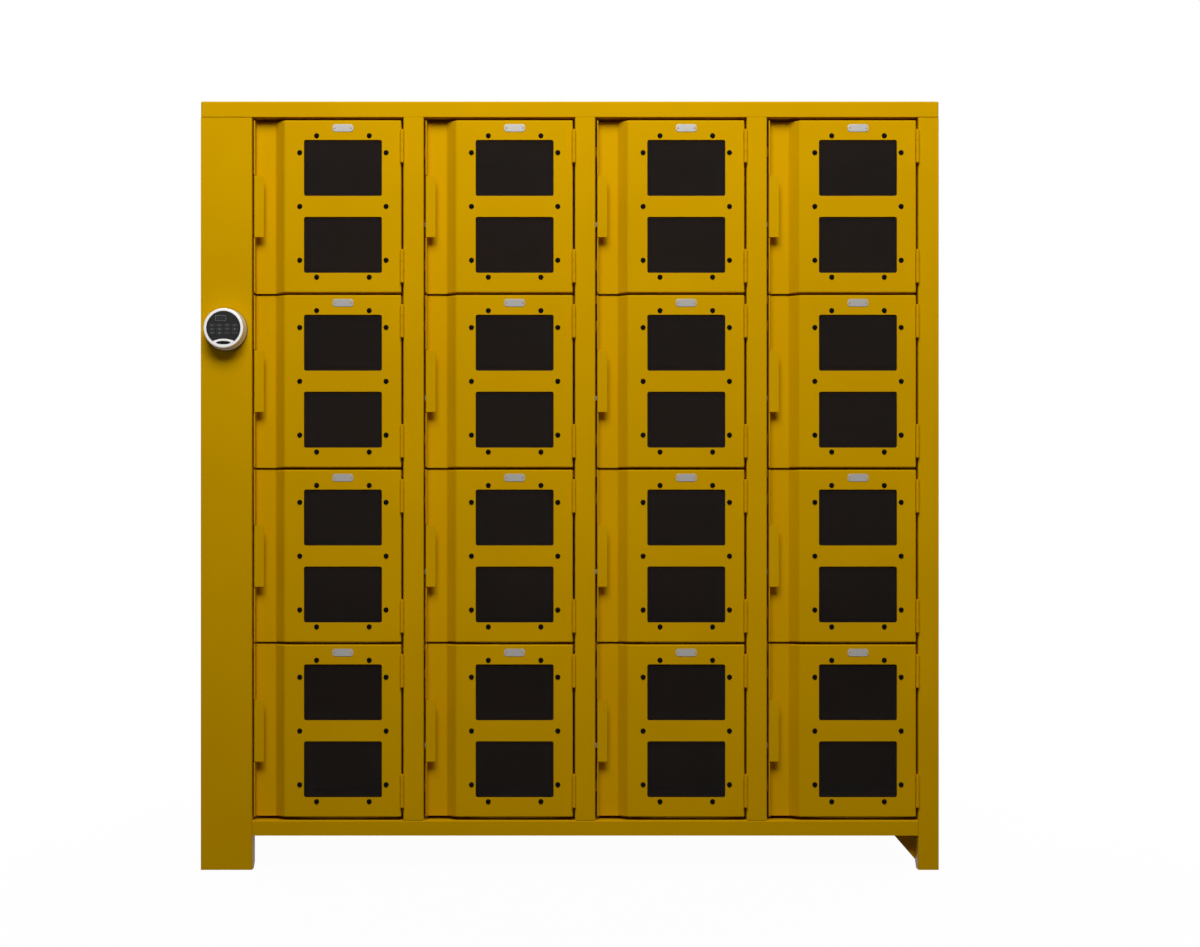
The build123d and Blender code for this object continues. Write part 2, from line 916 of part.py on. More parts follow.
# Dial housing: a turned cup whose rim frames the keys, with the silver segment below them
def make_dial_housing():
    floor_front = dial_back + dial_wall
    ledge = mat_front - mat_thickness
    with BuildPart() as housing:
        with BuildSketch(Plane(origin=(dial_x, front_y, dial_height), x_dir=(1, 0, 0), z_dir=(0, 0, 1))):
            with BuildLine():
                Polyline(
                    (0, -dial_back),
                    (dial_rear_radius, -dial_back),
                    (dial_front_radius, -dial_front),
                    (dial_face_radius, -dial_front),
                    (dial_face_radius, -ledge),
                    (dial_ledge_radius, -ledge),
                    (dial_ledge_radius, -ledge + dial_wall),
                    (dial_rear_radius - 2 * dial_wall, -ledge + 2 * dial_wall),
                    (dial_rear_radius - 2 * dial_wall, -floor_front),
                    (0, -floor_front),
                    close=True,
                )
            make_face()
        revolve(axis=Axis((dial_x, front_y, dial_height), (0, 1, 0)))
        rims = housing.edges().filter_by(GeomType.CIRCLE).group_by(Axis.Y)[0]
        fillet(rims.sort_by(SortBy.LENGTH)[-1], radius=dial_edge_radius)

        # Silver segment below the keys, with a shallow oval pocket
        with BuildSketch(upright(-ledge, dial_x, dial_height)):
            Circle(dial_face_radius + dial_edge_radius / 2)
            with Locations((0, -brow_height - brow_radius)):
                Circle(brow_radius, mode=Mode.INTERSECT)
        extrude(amount=dial_front - ledge - mat_clearance)
        with BuildSketch(upright(-dial_front, dial_x, dial_height)):
            with Locations((0, -oval_drop)):
                Ellipse(oval_width / 2, oval_height / 2)
        extrude(amount=-oval_depth, mode=Mode.SUBTRACT)
    return housing.part


# Black key mat with raised keys, and the plain oval plate in the silver segment
def key_centres():
    """Three rows of four keys."""
    first_x = -(key_columns - 1) * key_column_pitch / 2
    return [
        (first_x + column * key_column_pitch, key_top - row * key_row_pitch)
        for row in range(key_rows)
        for column in range(key_columns)
    ]


def make_key_mat():
    with BuildPart() as mat:
        with BuildSketch(upright(mat_thickness - mat_front, dial_x, dial_height)):
            Circle(dial_face_radius - mat_clearance)
            with Locations((0, -brow_height - brow_radius)):
                Circle(brow_radius + mat_clearance, mode=Mode.SUBTRACT)
        extrude(amount=mat_thickness)
        with BuildSketch(upright(-mat_front, dial_x, dial_height)):
            with Locations(*key_centres()):
                RectangleRounded(key_width, key_height, key_corner)
        extrude(amount=key_raise)
    return mat.part


def make_oval_plate():
    with BuildPart() as oval:
        with BuildSketch(upright(oval_depth - dial_front, dial_x, dial_height)):
            with Locations((0, -oval_drop)):
                half_width = oval_width / 2 - mat_clearance
                Ellipse(half_width, oval_height / 2 - mat_clearance)
        extrude(amount=oval_depth - mat_clearance)
    return oval.part


def make_display_window():
    with BuildPart() as display:
        with BuildSketch(upright(-mat_front, dial_x + display_x, dial_height + display_z)):
            RectangleRounded(display_width, display_height, display_corner)
        extrude(amount=display_raise)
    return display.part


def make_electronics():
    """Battery on the cup's floor and the round circuit board in front of it."""
    floor_front = dial_back + dial_wall
    with BuildPart() as battery:
        with BuildSketch(upright(-floor_front, dial_x, dial_height)):
            RectangleRounded(battery_width, battery_height, display_corner)
        extrude(amount=battery_depth)
    with BuildPart() as board:
        with BuildSketch(upright(-floor_front - battery_depth, dial_x, dial_height)):
            Circle(board_radius)
        extrude(amount=board_sheet)
    return battery.part, board.part


openings = [(column, row) for row in range(rows) for column in range(columns)]
hinge_bottoms = (hinge_inset, door_height - hinge_inset - hinge_length)
stop_bottoms = (stop_inset, door_height - stop_inset - stop_height)

os.makedirs("parts", exist_ok=True)

# Casing
write("side_panel_left", make_side_panel(-side_x, -side_inside))
write("side_panel_right", make_side_panel(side_inside, side_x))
write("back_panel", make_back_panel())
write("roof_cap", make_roof_cap())
write("ceiling_panel", make_ceiling_panel())
write("floor_pan", make_floor_pan())
write("lock_panel", make_stile(-side_x, first_jamb, True))
write("right_stile", make_stile(side_x, last_jamb, False))
write("centre_posts", *[make_post(column) for column in range(1, columns)])
write("partitions", *make_partitions())
shelf_places = [place for place in openings if place[1] < rows - 1]
write("shelves", *[make_shelf(column, row) for column, row in shelf_places])
corners = [(side, end) for side in (-1, 1) for end in (-1, 1)]
write("legs", *[make_leg(side, end) for side, end in corners])
write("leg_gussets", *[make_gusset(side, end) for side, end in corners])

# Fittings at every door opening
frame_leaf_pair = [make_frame_leaf(bottom) for bottom in hinge_bottoms]
hinge_pin_pair = [make_hinge_pin(bottom) for bottom in hinge_bottoms]
stop_pair = [make_door_stop(bottom) for bottom in stop_bottoms]
bumper_pair = [make_bumper(bottom) for bottom in stop_bottoms]
fittings = {
    "hinge_frame_leaves": frame_leaf_pair,
    "hinge_pins": hinge_pin_pair,
    "door_stops": stop_pair,
    "stop_bumpers": bumper_pair,
}
for name, pair in fittings.items():
    write(name, *[placed(piece, column, row) for column, row in openings for piece in pair])

# Central lock
guide_bottoms = (floor_top + guide_inset, header_bottom - guide_inset)
guides = [make_bar_guide(column, z) for column in range(columns) for z in guide_bottoms]
write("bar_guides", *guides)
write("lock_bars", *[make_lock_bar(column) for column in range(columns)])
write("tie_bar", make_tie_bar())
write("drive_rack", make_drive_rack())
write("lock_case", make_lock_case())

# Keypad dial
write("keypad_base", make_keypad_base())
write("dial_housing", make_dial_housing())
write("key_mat", make_key_mat(), make_oval_plate())
write("display_window", make_display_window())
write("dial_spindle", make_dial_spindle())
write("keypad_electronics", *make_electronics())

# Doors and their windows
door_pieces = [make_door_pan(), make_keeper(), make_number_plate()]
door_pieces += [make_door_leaf(bottom) for bottom in hinge_bottoms]
window_pieces = [make_pane()] + make_screws()
for column, row in openings:
    place = f"r{row + 1}c{column + 1}"
    write(f"door_{place}", *[placed(piece, column, row) for piece in door_pieces])
    write(f"window_{place}", *[placed(piece, column, row) for piece in window_pieces])
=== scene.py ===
import math

import bmesh
import bpy
from mathutils import Matrix, Vector


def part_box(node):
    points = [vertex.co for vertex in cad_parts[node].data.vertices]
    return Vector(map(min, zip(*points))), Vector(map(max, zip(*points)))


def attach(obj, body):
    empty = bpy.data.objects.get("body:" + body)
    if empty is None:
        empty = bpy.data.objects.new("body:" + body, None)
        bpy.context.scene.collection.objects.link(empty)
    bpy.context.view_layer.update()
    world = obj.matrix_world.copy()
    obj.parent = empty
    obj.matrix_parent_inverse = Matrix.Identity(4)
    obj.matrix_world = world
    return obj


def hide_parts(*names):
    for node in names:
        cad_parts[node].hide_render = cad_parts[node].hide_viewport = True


# A wide steel locker with sixteen window doors and one keypad dial, on a white floor.
# Sizes in the dictionaries are millimetres, and mm turns them into metres.

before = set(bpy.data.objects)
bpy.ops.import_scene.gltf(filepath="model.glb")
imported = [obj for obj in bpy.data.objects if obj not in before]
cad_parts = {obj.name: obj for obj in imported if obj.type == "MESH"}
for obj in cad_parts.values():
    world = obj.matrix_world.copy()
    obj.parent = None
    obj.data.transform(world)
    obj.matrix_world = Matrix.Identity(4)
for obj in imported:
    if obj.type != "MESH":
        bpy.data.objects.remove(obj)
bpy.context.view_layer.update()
mm = 0.001
places = [(column, row) for row in range(1, 5) for column in range(1, 5)]
print("frame loaded:", len(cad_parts), "nodes")


# Small helpers

def linear(hexColour):
    channels = [int(hexColour[i:i + 2], 16) / 255 for i in (1, 3, 5)]
    return [c / 12.92 if c <= 0.04045 else ((c + 0.055) / 1.055) ** 2.4 for c in channels] + [1.0]


def addNode(tree, kind, settings=None, links=None):
    # one shader node, such as Math, with its settings; links maps an input to (node, output)
    node = tree.nodes.new("ShaderNode" + kind)
    for key, value in (settings or {}).items():
        if isinstance(key, str) and hasattr(node, key):
            setattr(node, key, value)
        else:
            node.inputs[key].default_value = value
    for key, (source, output) in (links or {}).items():
        tree.links.new(source.outputs[output], node.inputs[key])
    return node


def newMaterial(name):
    material = bpy.data.materials.new(name)
    material.use_nodes = True
    return material, material.node_tree, material.node_tree.nodes["Principled BSDF"]


def placed(name, data):
    # a new object in the scene, left at the origin
    thing = bpy.data.objects.new(name, data)
    bpy.context.scene.collection.objects.link(thing)
    return thing


def finalMesh(thing):
    # a copy of an object's mesh with its modifiers applied
    return bpy.data.meshes.new_from_object(thing.evaluated_get(bpy.context.evaluated_depsgraph_get()))


def byMm(x, y, z):
    # a shift for a finished mesh
    return Matrix.Translation(Vector((x, y, z)) * mm)


def edgesOf(made):
    # edges of what create_circle or an extrusion has made
    if "verts" in made:
        return list({edge for vert in made["verts"] for edge in vert.link_edges})
    return [item for item in made["geom"] if isinstance(item, bmesh.types.BMEdge)]


def vertsOf(made):
    return [item for item in made["geom"] if isinstance(item, bmesh.types.BMVert)]


def near(a, b, reach=0.02):
    return abs(a - b) < reach


def soften(shape, parts, offset, segments, affect="EDGES"):
    bmesh.ops.bevel(shape, geom=parts, offset=offset, offset_type="OFFSET", segments=segments,
                    profile=0.5, affect=affect, material=-1)


def pull(shape, edges, vec):
    # extrudes edges along a vector; hands back the new vertices and the edges between them
    made = bmesh.ops.extrude_edge_only(shape, edges=edges)
    verts = vertsOf(made)
    bmesh.ops.translate(shape, verts=verts, vec=vec)
    return verts, [edge for edge in edgesOf(made) if all(vert in verts for vert in edge.verts)]


def dropFaces(shape, faces, keepRim=False):
    bmesh.ops.delete(shape, geom=faces, context="FACES_ONLY" if keepRim else "FACES")


def roundedLoop(shape, centre, width, height, radius, segments=5):
    # edges of a rounded rectangle that stands in the plane of a door's face
    x, z = centre
    corners = [(x + sx * width / 2, 0, z + sz * height / 2)
               for sx, sz in ((-1, -1), (1, -1), (1, 1), (-1, 1))]
    outline = shape.faces.new([shape.verts.new(corner) for corner in corners])
    before = set(shape.faces) - {outline}
    soften(shape, list(outline.verts), radius, segments, "VERTICES")
    outline = [face for face in shape.faces if face not in before][0]
    edges = list(outline.edges)
    dropFaces(shape, [outline], True)
    return edges


def roundLoop(shape, centre, radius, segments, depth=0.0, stretch=1.0):
    # edges of a circle or an oval in the plane of a door's face
    turn = Matrix.Translation((centre[0], depth, centre[1])) @ Matrix.Rotation(math.pi / 2, 4, "X")
    return edgesOf(bmesh.ops.create_circle(shape, cap_ends=False, segments=segments, radius=radius,
                                           matrix=turn @ Matrix.Diagonal((stretch, 1, 1, 1))))


def fillRound(shape, edges):
    bmesh.ops.triangle_fill(shape, use_beauty=True, use_dissolve=False, edges=edges)


def faceTo(shape, way=(0, -1, 0)):
    # makes the faces agree and turns the widest one that lies across a direction towards it
    bmesh.ops.recalc_face_normals(shape, faces=shape.faces)
    way = Vector(way)
    widest = max((f for f in shape.faces if abs(f.normal.dot(way)) > 0.9), key=lambda f: f.calc_area())
    if widest.normal.dot(way) < 0:
        bmesh.ops.reverse_faces(shape, faces=shape.faces)


def foldedSheet(line, bends, low, high):
    # upright sheet on a plan line of (x, y), with an outside radius at each of its corners
    shape = bmesh.new()
    corners = [shape.verts.new((x, y, low)) for x, y in line]
    pull(shape, [shape.edges.new(pair) for pair in zip(corners, corners[1:])], (0, 0, high - low))
    for before, here, after, radius in zip(line, line[1:], line[2:], bends):
        turn = (Vector(here) - Vector(before)).angle(Vector(after) - Vector(here))
        upright = [edge for edge in shape.edges
                   if all(near(v.co.x, here[0]) and near(v.co.y, here[1]) for v in edge.verts)]
        soften(shape, upright, radius * math.tan(turn / 2), 5)
    return shape


def openField(shape):
    # takes out the widest face across the front, and hands back its rim
    shape.normal_update()
    field = max(shape.faces, key=lambda face: face.calc_area() if abs(face.normal.y) > 0.9 else 0)
    rim = list(field.edges)
    dropFaces(shape, [field], True)
    return rim


def slicedFlange(shape, x, cuts):
    # cuts the flange that stands in one plane of x, and hands back its faces
    def flange():
        return [face for face in shape.faces if all(near(v.co.x, x) for v in face.verts)]
    for point, normal in cuts:
        geometry = {part for f in flange() for part in (f, *f.edges, *f.verts)}
        bmesh.ops.bisect_plane(shape, geom=list(geometry), plane_co=point, plane_no=normal, dist=0.0001)
    return flange()


def finished(shape, sheet=0.0, edge=0.0, smooth=32):
    # gives a shape its wall and soft edges, and hands back a mesh in metres
    mesh = bpy.data.meshes.new("shape")
    shape.to_mesh(mesh)
    shape.free()
    mesh.transform(Matrix.Scale(mm, 4))
    carrier = placed("carrier", mesh)
    if sheet:
        wall = carrier.modifiers.new("wall", "SOLIDIFY")
        wall.thickness, wall.offset, wall.use_even_offset = sheet * mm, -1, True
    if edge:
        soft = carrier.modifiers.new("edges", "BEVEL")
        soft.width, soft.segments, soft.limit_method = edge * mm, 2, "ANGLE"
        soft.angle_limit, soft.use_clamp_overlap = math.radians(50), False
    rough = finalMesh(carrier)
    for polygon in rough.polygons:
        polygon.use_smooth = True
    rough.set_sharp_from_angle(angle=math.radians(smooth))
    # broad flat faces keep their own normal, so the soft edges don't shade them
    carrier.modifiers.clear()
    carrier.data = rough
    carrier.modifiers.new("flats", "WEIGHTED_NORMAL").keep_sharp = True
    result = finalMesh(carrier)
    bpy.data.objects.remove(carrier)
    return result


def joined(parts):
    # one mesh from (mesh, matrix) pairs
    shape = bmesh.new()
    for mesh, matrix in parts:
        copy = mesh.copy()
        copy.transform(matrix)
        shape.from_mesh(copy)
        bpy.data.meshes.remove(copy)
    result = bpy.data.meshes.new("joined")
    shape.to_mesh(result)
    shape.free()
    return result


def addPiece(name, mesh, finish, body, node):
    # every new piece stands in for one CAD node
    piece = placed(name, mesh)
    mesh.name = name
    mesh.materials.append(finish)
    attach(piece, body)
    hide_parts(node)


# Finishes

def makeFinish(name, colour, dark, gloss, drift, grain, bump, sockets, span=(0.3, 0.7), stretch=(1, 1, 1),
               fall=0.5):
    # tone and gloss drift with one noise, and a second one gives the surface its texture
    # gloss is the lowest and highest roughness; drift and grain are (mm, detail); bump is (strength, mm)
    material, tree, surface = newMaterial(name)
    place = addNode(tree, "TexCoord")
    turn = addNode(tree, "Mapping", {"Scale": stretch}, {"Vector": (place, "Object")})
    cloud = addNode(tree, "TexNoise", {"Scale": 1000 / drift[0], "Detail": drift[1]},
                    {"Vector": (turn, "Vector")})
    tone = addNode(tree, "ValToRGB", links={"Fac": (cloud, "Fac")})
    for element, position, shade in zip(tone.color_ramp.elements, span, (dark, colour)):
        element.position, element.color = position, linear(shade)
    shine = addNode(tree, "MapRange", {"To Min": gloss[0], "To Max": gloss[1]}, {"Value": (cloud, "Fac")})
    texture = addNode(tree, "TexNoise", {"Scale": 1000 / grain[0], "Detail": grain[1], "Roughness": fall},
                      {"Vector": (turn, "Vector")})
    relief = addNode(tree, "Bump", {"Strength": bump[0], "Distance": bump[1] * mm},
                     {"Height": (texture, "Fac")})
    for output, socket in ((tone.outputs["Color"], "Base Color"), (shine.outputs["Result"], "Roughness"),
                           (relief.outputs["Normal"], "Normal")):
        tree.links.new(output, surface.inputs[socket])
    for socket, value in sockets.items():
        surface.inputs[socket].default_value = value
    return material


def makeMetal(name, colour, dark, roughness, grain, bumpHeight, stretch=(1, 1, 1), metallic=1.0):
    # tone, gloss and relief follow one grain: rolled, plated, brushed or cast
    return makeFinish(name, colour, dark, (roughness - 0.06, roughness + 0.08), (grain, 4.0), (grain, 4.0),
                      (0.3, bumpHeight), {"Metallic": metallic}, stretch=stretch)


def makePolymer(name, colour, dark, roughness, ior, grain, bumpHeight, alpha=1.0, sheen=0.5):
    # tone and gloss drift a little over a fine moulded texture
    return makeFinish(name, colour, dark, (max(roughness - 0.03, 0.02), roughness + 0.06), (55.56, 3.0),
                      (grain, 2.0), (0.25, bumpHeight),
                      {"IOR": ior, "Alpha": alpha, "Specular IOR Level": sheen})


# polyester powder coat on steel: satin, with the faint orange peel of cured powder
# peel cells are about 1 mm across on the real coat and are drawn three times as coarse to show
polyesterPowderCoat = makeFinish(
    "polyesterPowderCoat", "#D9A500", "#D5A100", (0.35, 0.47), (260.0, 3.0), (3.6, 1.5), (0.35, 0.13),
    {"IOR": 1.5, "Specular IOR Level": 0.12, "Specular Tint": linear("#F2B90A")}, (0.35, 0.68), fall=0.45)
# zinc plate over rolled steel: blue-grey and satin, with a faint rolling grain
zincPlatedSteel = makeMetal("zincPlatedSteel", "#C3C6C8", "#A3A7AB", 0.34, 2.4, 0.02, (1, 1, 0.15))
# zinc alloy from a die: slightly mottled and duller
castZincAlloy = makeMetal("castZincAlloy", "#A9ABAD", "#8D9094", 0.48, 1.8, 0.05)
# black oxide leaves steel a soft black with a low oily sheen
blackOxideSteel = makePolymer("blackOxideSteel", "#0B0B0B", "#060606", 0.46, 1.5, 1.2, 0.01, sheen=0.04)
# satin chrome over a zinc die casting: pale silver with broad soft reflections
satinChrome = makeMetal("satinChrome", "#F0EEEC", "#E6E4E2", 0.42, 0.9, 0.006, (1, 6, 1), 0.4)
# clear anodised aluminium, bead blasted: nearly white and matte
anodisedAluminium = makeMetal("anodisedAluminium", "#9C9A96", "#918F8B", 0.38, 0.8, 0.008, metallic=0.67)
# yellow chromate over zinc: brownish yellow and satin
yellowZincPlate = makeMetal("yellowZincPlate", "#A98338", "#7F5F24", 0.36, 1.0, 0.01)
# grey smoke polycarbonate sheet: glossy, dark, and still clear enough to show the shelf behind it
smokedPolycarbonate = makePolymer("smokedPolycarbonate", "#282827", "#242423", 0.07, 1.585, 6.0, 0.003,
                                  0.40, 0.04)
# moulded ABS: even black with a fine matt texture
mouldedBlackAbs = makePolymer("mouldedBlackAbs", "#17181A", "#101113", 0.42, 1.54, 0.7, 0.02, sheen=0.15)
# gloss black moulding of the bare oval plate
glossBlackAbs = makePolymer("glossBlackAbs", "#101012", "#0C0C0D", 0.12, 1.54, 3.0, 0.002, sheen=0.15)
# moulded silicone rubber: soft dark grey; the keys get a paler copy of it, which is painted light on the
# raised keys against the mat
siliconeRubber = makePolymer("siliconeRubber", "#2D2D2C", "#272726", 0.52, 1.43, 0.5, 0.015, sheen=0.12)
siliconeKeysPaintedLight = makePolymer("siliconeKeysPaintedLight", "#3D3E40", "#37383A", 0.5, 1.43, 0.5, 0.015, sheen=0.12)
# moulded nitrile rubber: dull black
nitrileRubber = makePolymer("nitrileRubber", "#161616", "#0F0F0F", 0.66, 1.52, 0.6, 0.02)
# cast acrylic over the display: smooth dark grey
greyAcrylicLens = makePolymer("greyAcrylicLens", "#323435", "#2C2E2F", 0.12, 1.49, 5.0, 0.002, sheen=0.15)
# pad print ink: flat pale grey
whitePadPrint = makePolymer("whitePadPrint", "#8E9092", "#84868A", 0.55, 1.5, 0.4, 0.004, sheen=0.2)
# solder mask over glass epoxy: smooth green
glassEpoxyBoard = makePolymer("glassEpoxyBoard", "#2B5C3A", "#234F31", 0.35, 1.55, 0.9, 0.01)
print("finishes made")


# The CAD nodes; what is painted, clear or replaced further on needs no line here

nodeFinish = {"lock_case": castZincAlloy, "keypad_electronics": glassEpoxyBoard}
for name in ("bar_guides", "lock_bars", "tie_bar", "drive_rack", "dial_spindle"):
    nodeFinish[name] = zincPlatedSteel
for name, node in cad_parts.items():
    finish = smokedPolycarbonate if name.startswith("window") else polyesterPowderCoat
    node.data.materials.clear()
    node.data.materials.append(nodeFinish.get(name, finish))


# Doors, made once at the origin door: x from its latch edge, y back from its face, z up

# bends are the outside radii at the latch, the valley, the crown and the hinge side
doorPan = {"width": 365.15, "height": 427.25, "sheet": 2.7, "recess": 51.0, "slope": 25.4, "depth": 25.4,
           "bends": (2.0, 9.0, 10.0, 4.0), "foldBend": 3.2, "cornerCut": 4.0, "lipReach": 25.0,
           "lipHeight": 152.4, "lipCorner": 3.0, "lipBend": 1.0, "relief": 2.0, "reliefDepth": 6.0,
           "edge": 0.45}
window = {"width": 193.0, "height": 138.7, "bar": 52.0, "corner": 5.0}
screwPlaces = {"offset": 10.5, "columns": 130.3, "rows": 133.3, "hole": 3.2}
doorMiddle = ((doorPan["recess"] + doorPan["slope"] + doorPan["width"]) / 2, doorPan["height"] / 2)


def screwCentres():
    # three down each side and two along the top and the bottom
    x, z = doorMiddle
    side = window["width"] / 2 + screwPlaces["offset"]
    end = window["height"] + window["bar"] / 2 + screwPlaces["offset"]
    rows, half = screwPlaces["rows"], screwPlaces["columns"] / 2
    sides = [(x + dx, z + dz) for dx in (-side, side) for dz in (-rows, 0, rows)]
    return sides + [(x + dx, z + dz) for dx in (-half, half) for dz in (-end, end)]


def screwHoles(shape):
    return [edge for at in screwCentres() for edge in roundLoop(shape, at, screwPlaces["hole"], 12)]


def makeDoorPan(size):
    high, sheet, depth = size["height"], size["sheet"], size["depth"]
    line = [(sheet, 0), (sheet, depth), (size["recess"], depth), (size["recess"] + size["slope"], 0),
            (size["width"], 0), (size["width"], depth + sheet)]
    shape = foldedSheet(line, size["bends"], 0, high)

    # flanges turned back along the top and the bottom, from the foot of the slope to the hinge side
    foot = size["recess"] + size["bends"][1] * math.tan(math.radians(22.5)) * math.cos(math.radians(45))
    for level in (0, high):
        rim = [edge for edge in shape.edges
               if all(near(v.co.z, level) and v.co.x > foot - 0.05 for v in edge.verts)]
        rimVerts = {vert for edge in rim for vert in edge.verts}
        start = min(rimVerts, key=lambda v: v.co.x)
        back = max(rimVerts, key=lambda v: v.co.y + v.co.x)
        corner = shape.verts.new((start.co.x, depth + sheet, level))
        closing = [shape.edges.new((start, corner)), shape.edges.new((corner, back))]
        bmesh.ops.contextual_create(shape, geom=rim + closing)
        soften(shape, rim, size["foldBend"], 4)

    # windows and screw holes
    rim = openField(shape)
    step = (window["height"] + window["bar"]) / 2
    for level in (doorMiddle[1] - step, doorMiddle[1] + step):
        rim += roundedLoop(shape, (doorMiddle[0], level), window["width"], window["height"],
                           window["corner"])
    fillRound(shape, rim + screwHoles(shape))

    # pull lip, bent in from the latch flange between two relief cuts
    low = (high - size["lipHeight"]) / 2
    top = low + size["lipHeight"]
    cuts = [((0, 0, z), (0, 0, 1)) for z in (low - size["relief"], low, top, top + size["relief"])]
    flange = slicedFlange(shape, sheet, cuts + [((0, size["reliefDepth"], 0), (0, 1, 0))])
    dropFaces(shape, [face for face in flange if face.calc_center_median().y < size["reliefDepth"] and
                      0 < abs(face.calc_center_median().z - high / 2) - size["lipHeight"] / 2
                      < size["relief"]])
    free = [edge for edge in shape.edges if edge.is_boundary and
            all(near(v.co.x, sheet) and near(v.co.y, 0) and low - 0.1 < v.co.z < top + 0.1
                for v in edge.verts)]
    bmesh.ops.translate(shape, verts=list({v for e in free for v in e.verts}), vec=(0, sheet, 0))
    ends = pull(shape, free, (size["lipReach"] - sheet, 0, 0))[0]
    soften(shape, ends, size["lipCorner"], 4, "VERTICES")
    soften(shape, free, size["lipBend"], 3)
    tips = [v for v in shape.verts
            if near(v.co.x, sheet) and near(v.co.y, 0) and (near(v.co.z, 0) or near(v.co.z, high))]
    soften(shape, tips, size["cornerCut"], 2, "VERTICES")
    faceTo(shape)
    return finished(shape, sheet, size["edge"])


hinge = {"length": 80.0, "inset": 25.0, "sheet": 2.0, "leafDepth": 25.0, "barrel": 4.5, "proud": 5.0,
         "gap": 5.0, "knuckleGap": 0.5, "relief": 0.9, "edge": 0.35, "curl": 292.0, "pin": 2.4,
         "head": 3.6, "headRise": 1.6, "headRound": 0.7}


def makeHingeLeaf(size, onDoor):
    # a leaf rolled round the pin: the door's leaf has the middle knuckle, the post's has the outer two
    axisX = doorPan["width"] + size["gap"] / 2
    outer = doorPan["width"] if onDoor else doorPan["width"] + size["gap"]
    side = 1 if onDoor else -1
    third = size["length"] / 3
    start = -size["proud"] + math.sqrt(size["barrel"] ** 2 - (axisX - outer) ** 2)
    shape = bmesh.new()
    lip = shape.verts.new((outer, start, 0))
    foot = shape.verts.new((outer, size["leafDepth"], 0))
    flat = shape.edges.new((foot, lip))
    bmesh.ops.spin(shape, geom=[lip], cent=(axisX, -size["proud"], 0), axis=(0, 0, -side),
                   angle=math.radians(-size["curl"]), steps=16, use_merge=False, use_duplicate=False)
    risen = [flat] + [edge for edge in shape.edges if edge is not flat]
    for _ in range(3):
        risen = pull(shape, risen, (0, 0, third))[1]
    # beside the other leaf's knuckles the plate is cut back, so the two turn past each other
    clear = size["barrel"] + size["relief"] - size["proud"]
    bmesh.ops.bisect_plane(shape, geom=list(shape.faces) + list(shape.edges) + list(shape.verts),
                           plane_co=(0, clear, 0), plane_no=(0, 1, 0), dist=0.0001)
    kept = [1] if onDoor else [0, 2]
    dropFaces(shape, [face for face in shape.faces if face.calc_center_median().y < clear and
                      int(face.calc_center_median().z // third) not in kept])
    for v in shape.verts:
        if onDoor and v.co.y < clear - 0.001:
            v.co.z += size["knuckleGap"] if near(v.co.z, third) else -size["knuckleGap"]
    bmesh.ops.recalc_face_normals(shape, faces=shape.faces)
    plate = max(shape.faces, key=lambda f: f.calc_area())
    if plate.normal.x * side > 0:  # the wall grows from the outer face towards the pin
        bmesh.ops.reverse_faces(shape, faces=shape.faces)
    return finished(shape, size["sheet"], size["edge"], 40)


def spun(line, steps, axis="Y", smooth=35):
    # a turned shape from its line of (radius, place along the axis)
    shape = bmesh.new()
    verts = [shape.verts.new((r, along, 0) if axis == "Y" else (r, 0, along)) for r, along in line]
    edges = [shape.edges.new(pair) for pair in zip(verts, verts[1:])]
    bmesh.ops.spin(shape, geom=verts + edges, cent=(0, 0, 0), axis=(0, 1, 0) if axis == "Y" else (0, 0, 1),
                   angle=2 * math.pi, steps=steps, use_merge=True, use_duplicate=False)
    bmesh.ops.remove_doubles(shape, verts=shape.verts, dist=0.001)
    bmesh.ops.recalc_face_normals(shape, faces=shape.faces)
    return finished(shape, smooth=smooth)


def makeHingePin(size):
    # a pin with a low rounded head at both ends
    rise, head, length = size["headRise"], size["head"], size["length"]
    end = [(0, -rise), (head - size["headRound"], -rise), (head, -rise * 0.55), (head, 0),
           (size["pin"], 0)]
    return spun(end + [(r, length - z) for r, z in reversed(end)], 20, "Z")


# the dome is (share of the head's radius, rise)
buttonScrew = {"head": 6.5, "dome": ((0.99, 0.5), (0.86, 2.1), (0.62, 3.2)), "socket": 2.4,
               "socketDepth": 1.7, "nut": 5.5, "nutHeight": 5.0, "pane": 7.5, "shank": 3.0, "tip": 1.6}


def makeScrew(size):
    # button head with a hexagon socket in front, and its nut behind the pane; along -Y
    shape = bmesh.new()
    rim = roundLoop(shape, (0, 0), size["head"], 12)
    share, height = 1.0, 0.0
    for narrower, rise in size["dome"]:
        verts, rim = pull(shape, rim, (0, height - rise, 0))
        bmesh.ops.scale(shape, verts=verts, vec=(narrower / share, 1, narrower / share))
        share, height = narrower, rise
    socket = roundLoop(shape, (0, 0), size["socket"], 6, -height)
    fillRound(shape, rim + socket)
    bmesh.ops.contextual_create(shape, geom=pull(shape, socket, (0, size["socketDepth"], 0))[1])
    bmesh.ops.contextual_create(shape, geom=[e for e in shape.edges if e.is_boundary])
    back, nut, shank = size["pane"] + size["nutHeight"], size["nut"], size["shank"]
    for sides, front, rear, length, at in (
            (6, nut, nut, size["nutHeight"], back - size["nutHeight"] / 2),
            (10, shank * 0.8, shank, size["tip"], back)):
        turn = Matrix.Translation((0, at, 0)) @ Matrix.Rotation(math.pi / 2, 4, "X")
        bmesh.ops.create_cone(shape, cap_ends=True, segments=sides, radius1=front, radius2=rear,
                              depth=length, matrix=turn)
    bmesh.ops.recalc_face_normals(shape, faces=shape.faces)
    return finished(shape, smooth=38)


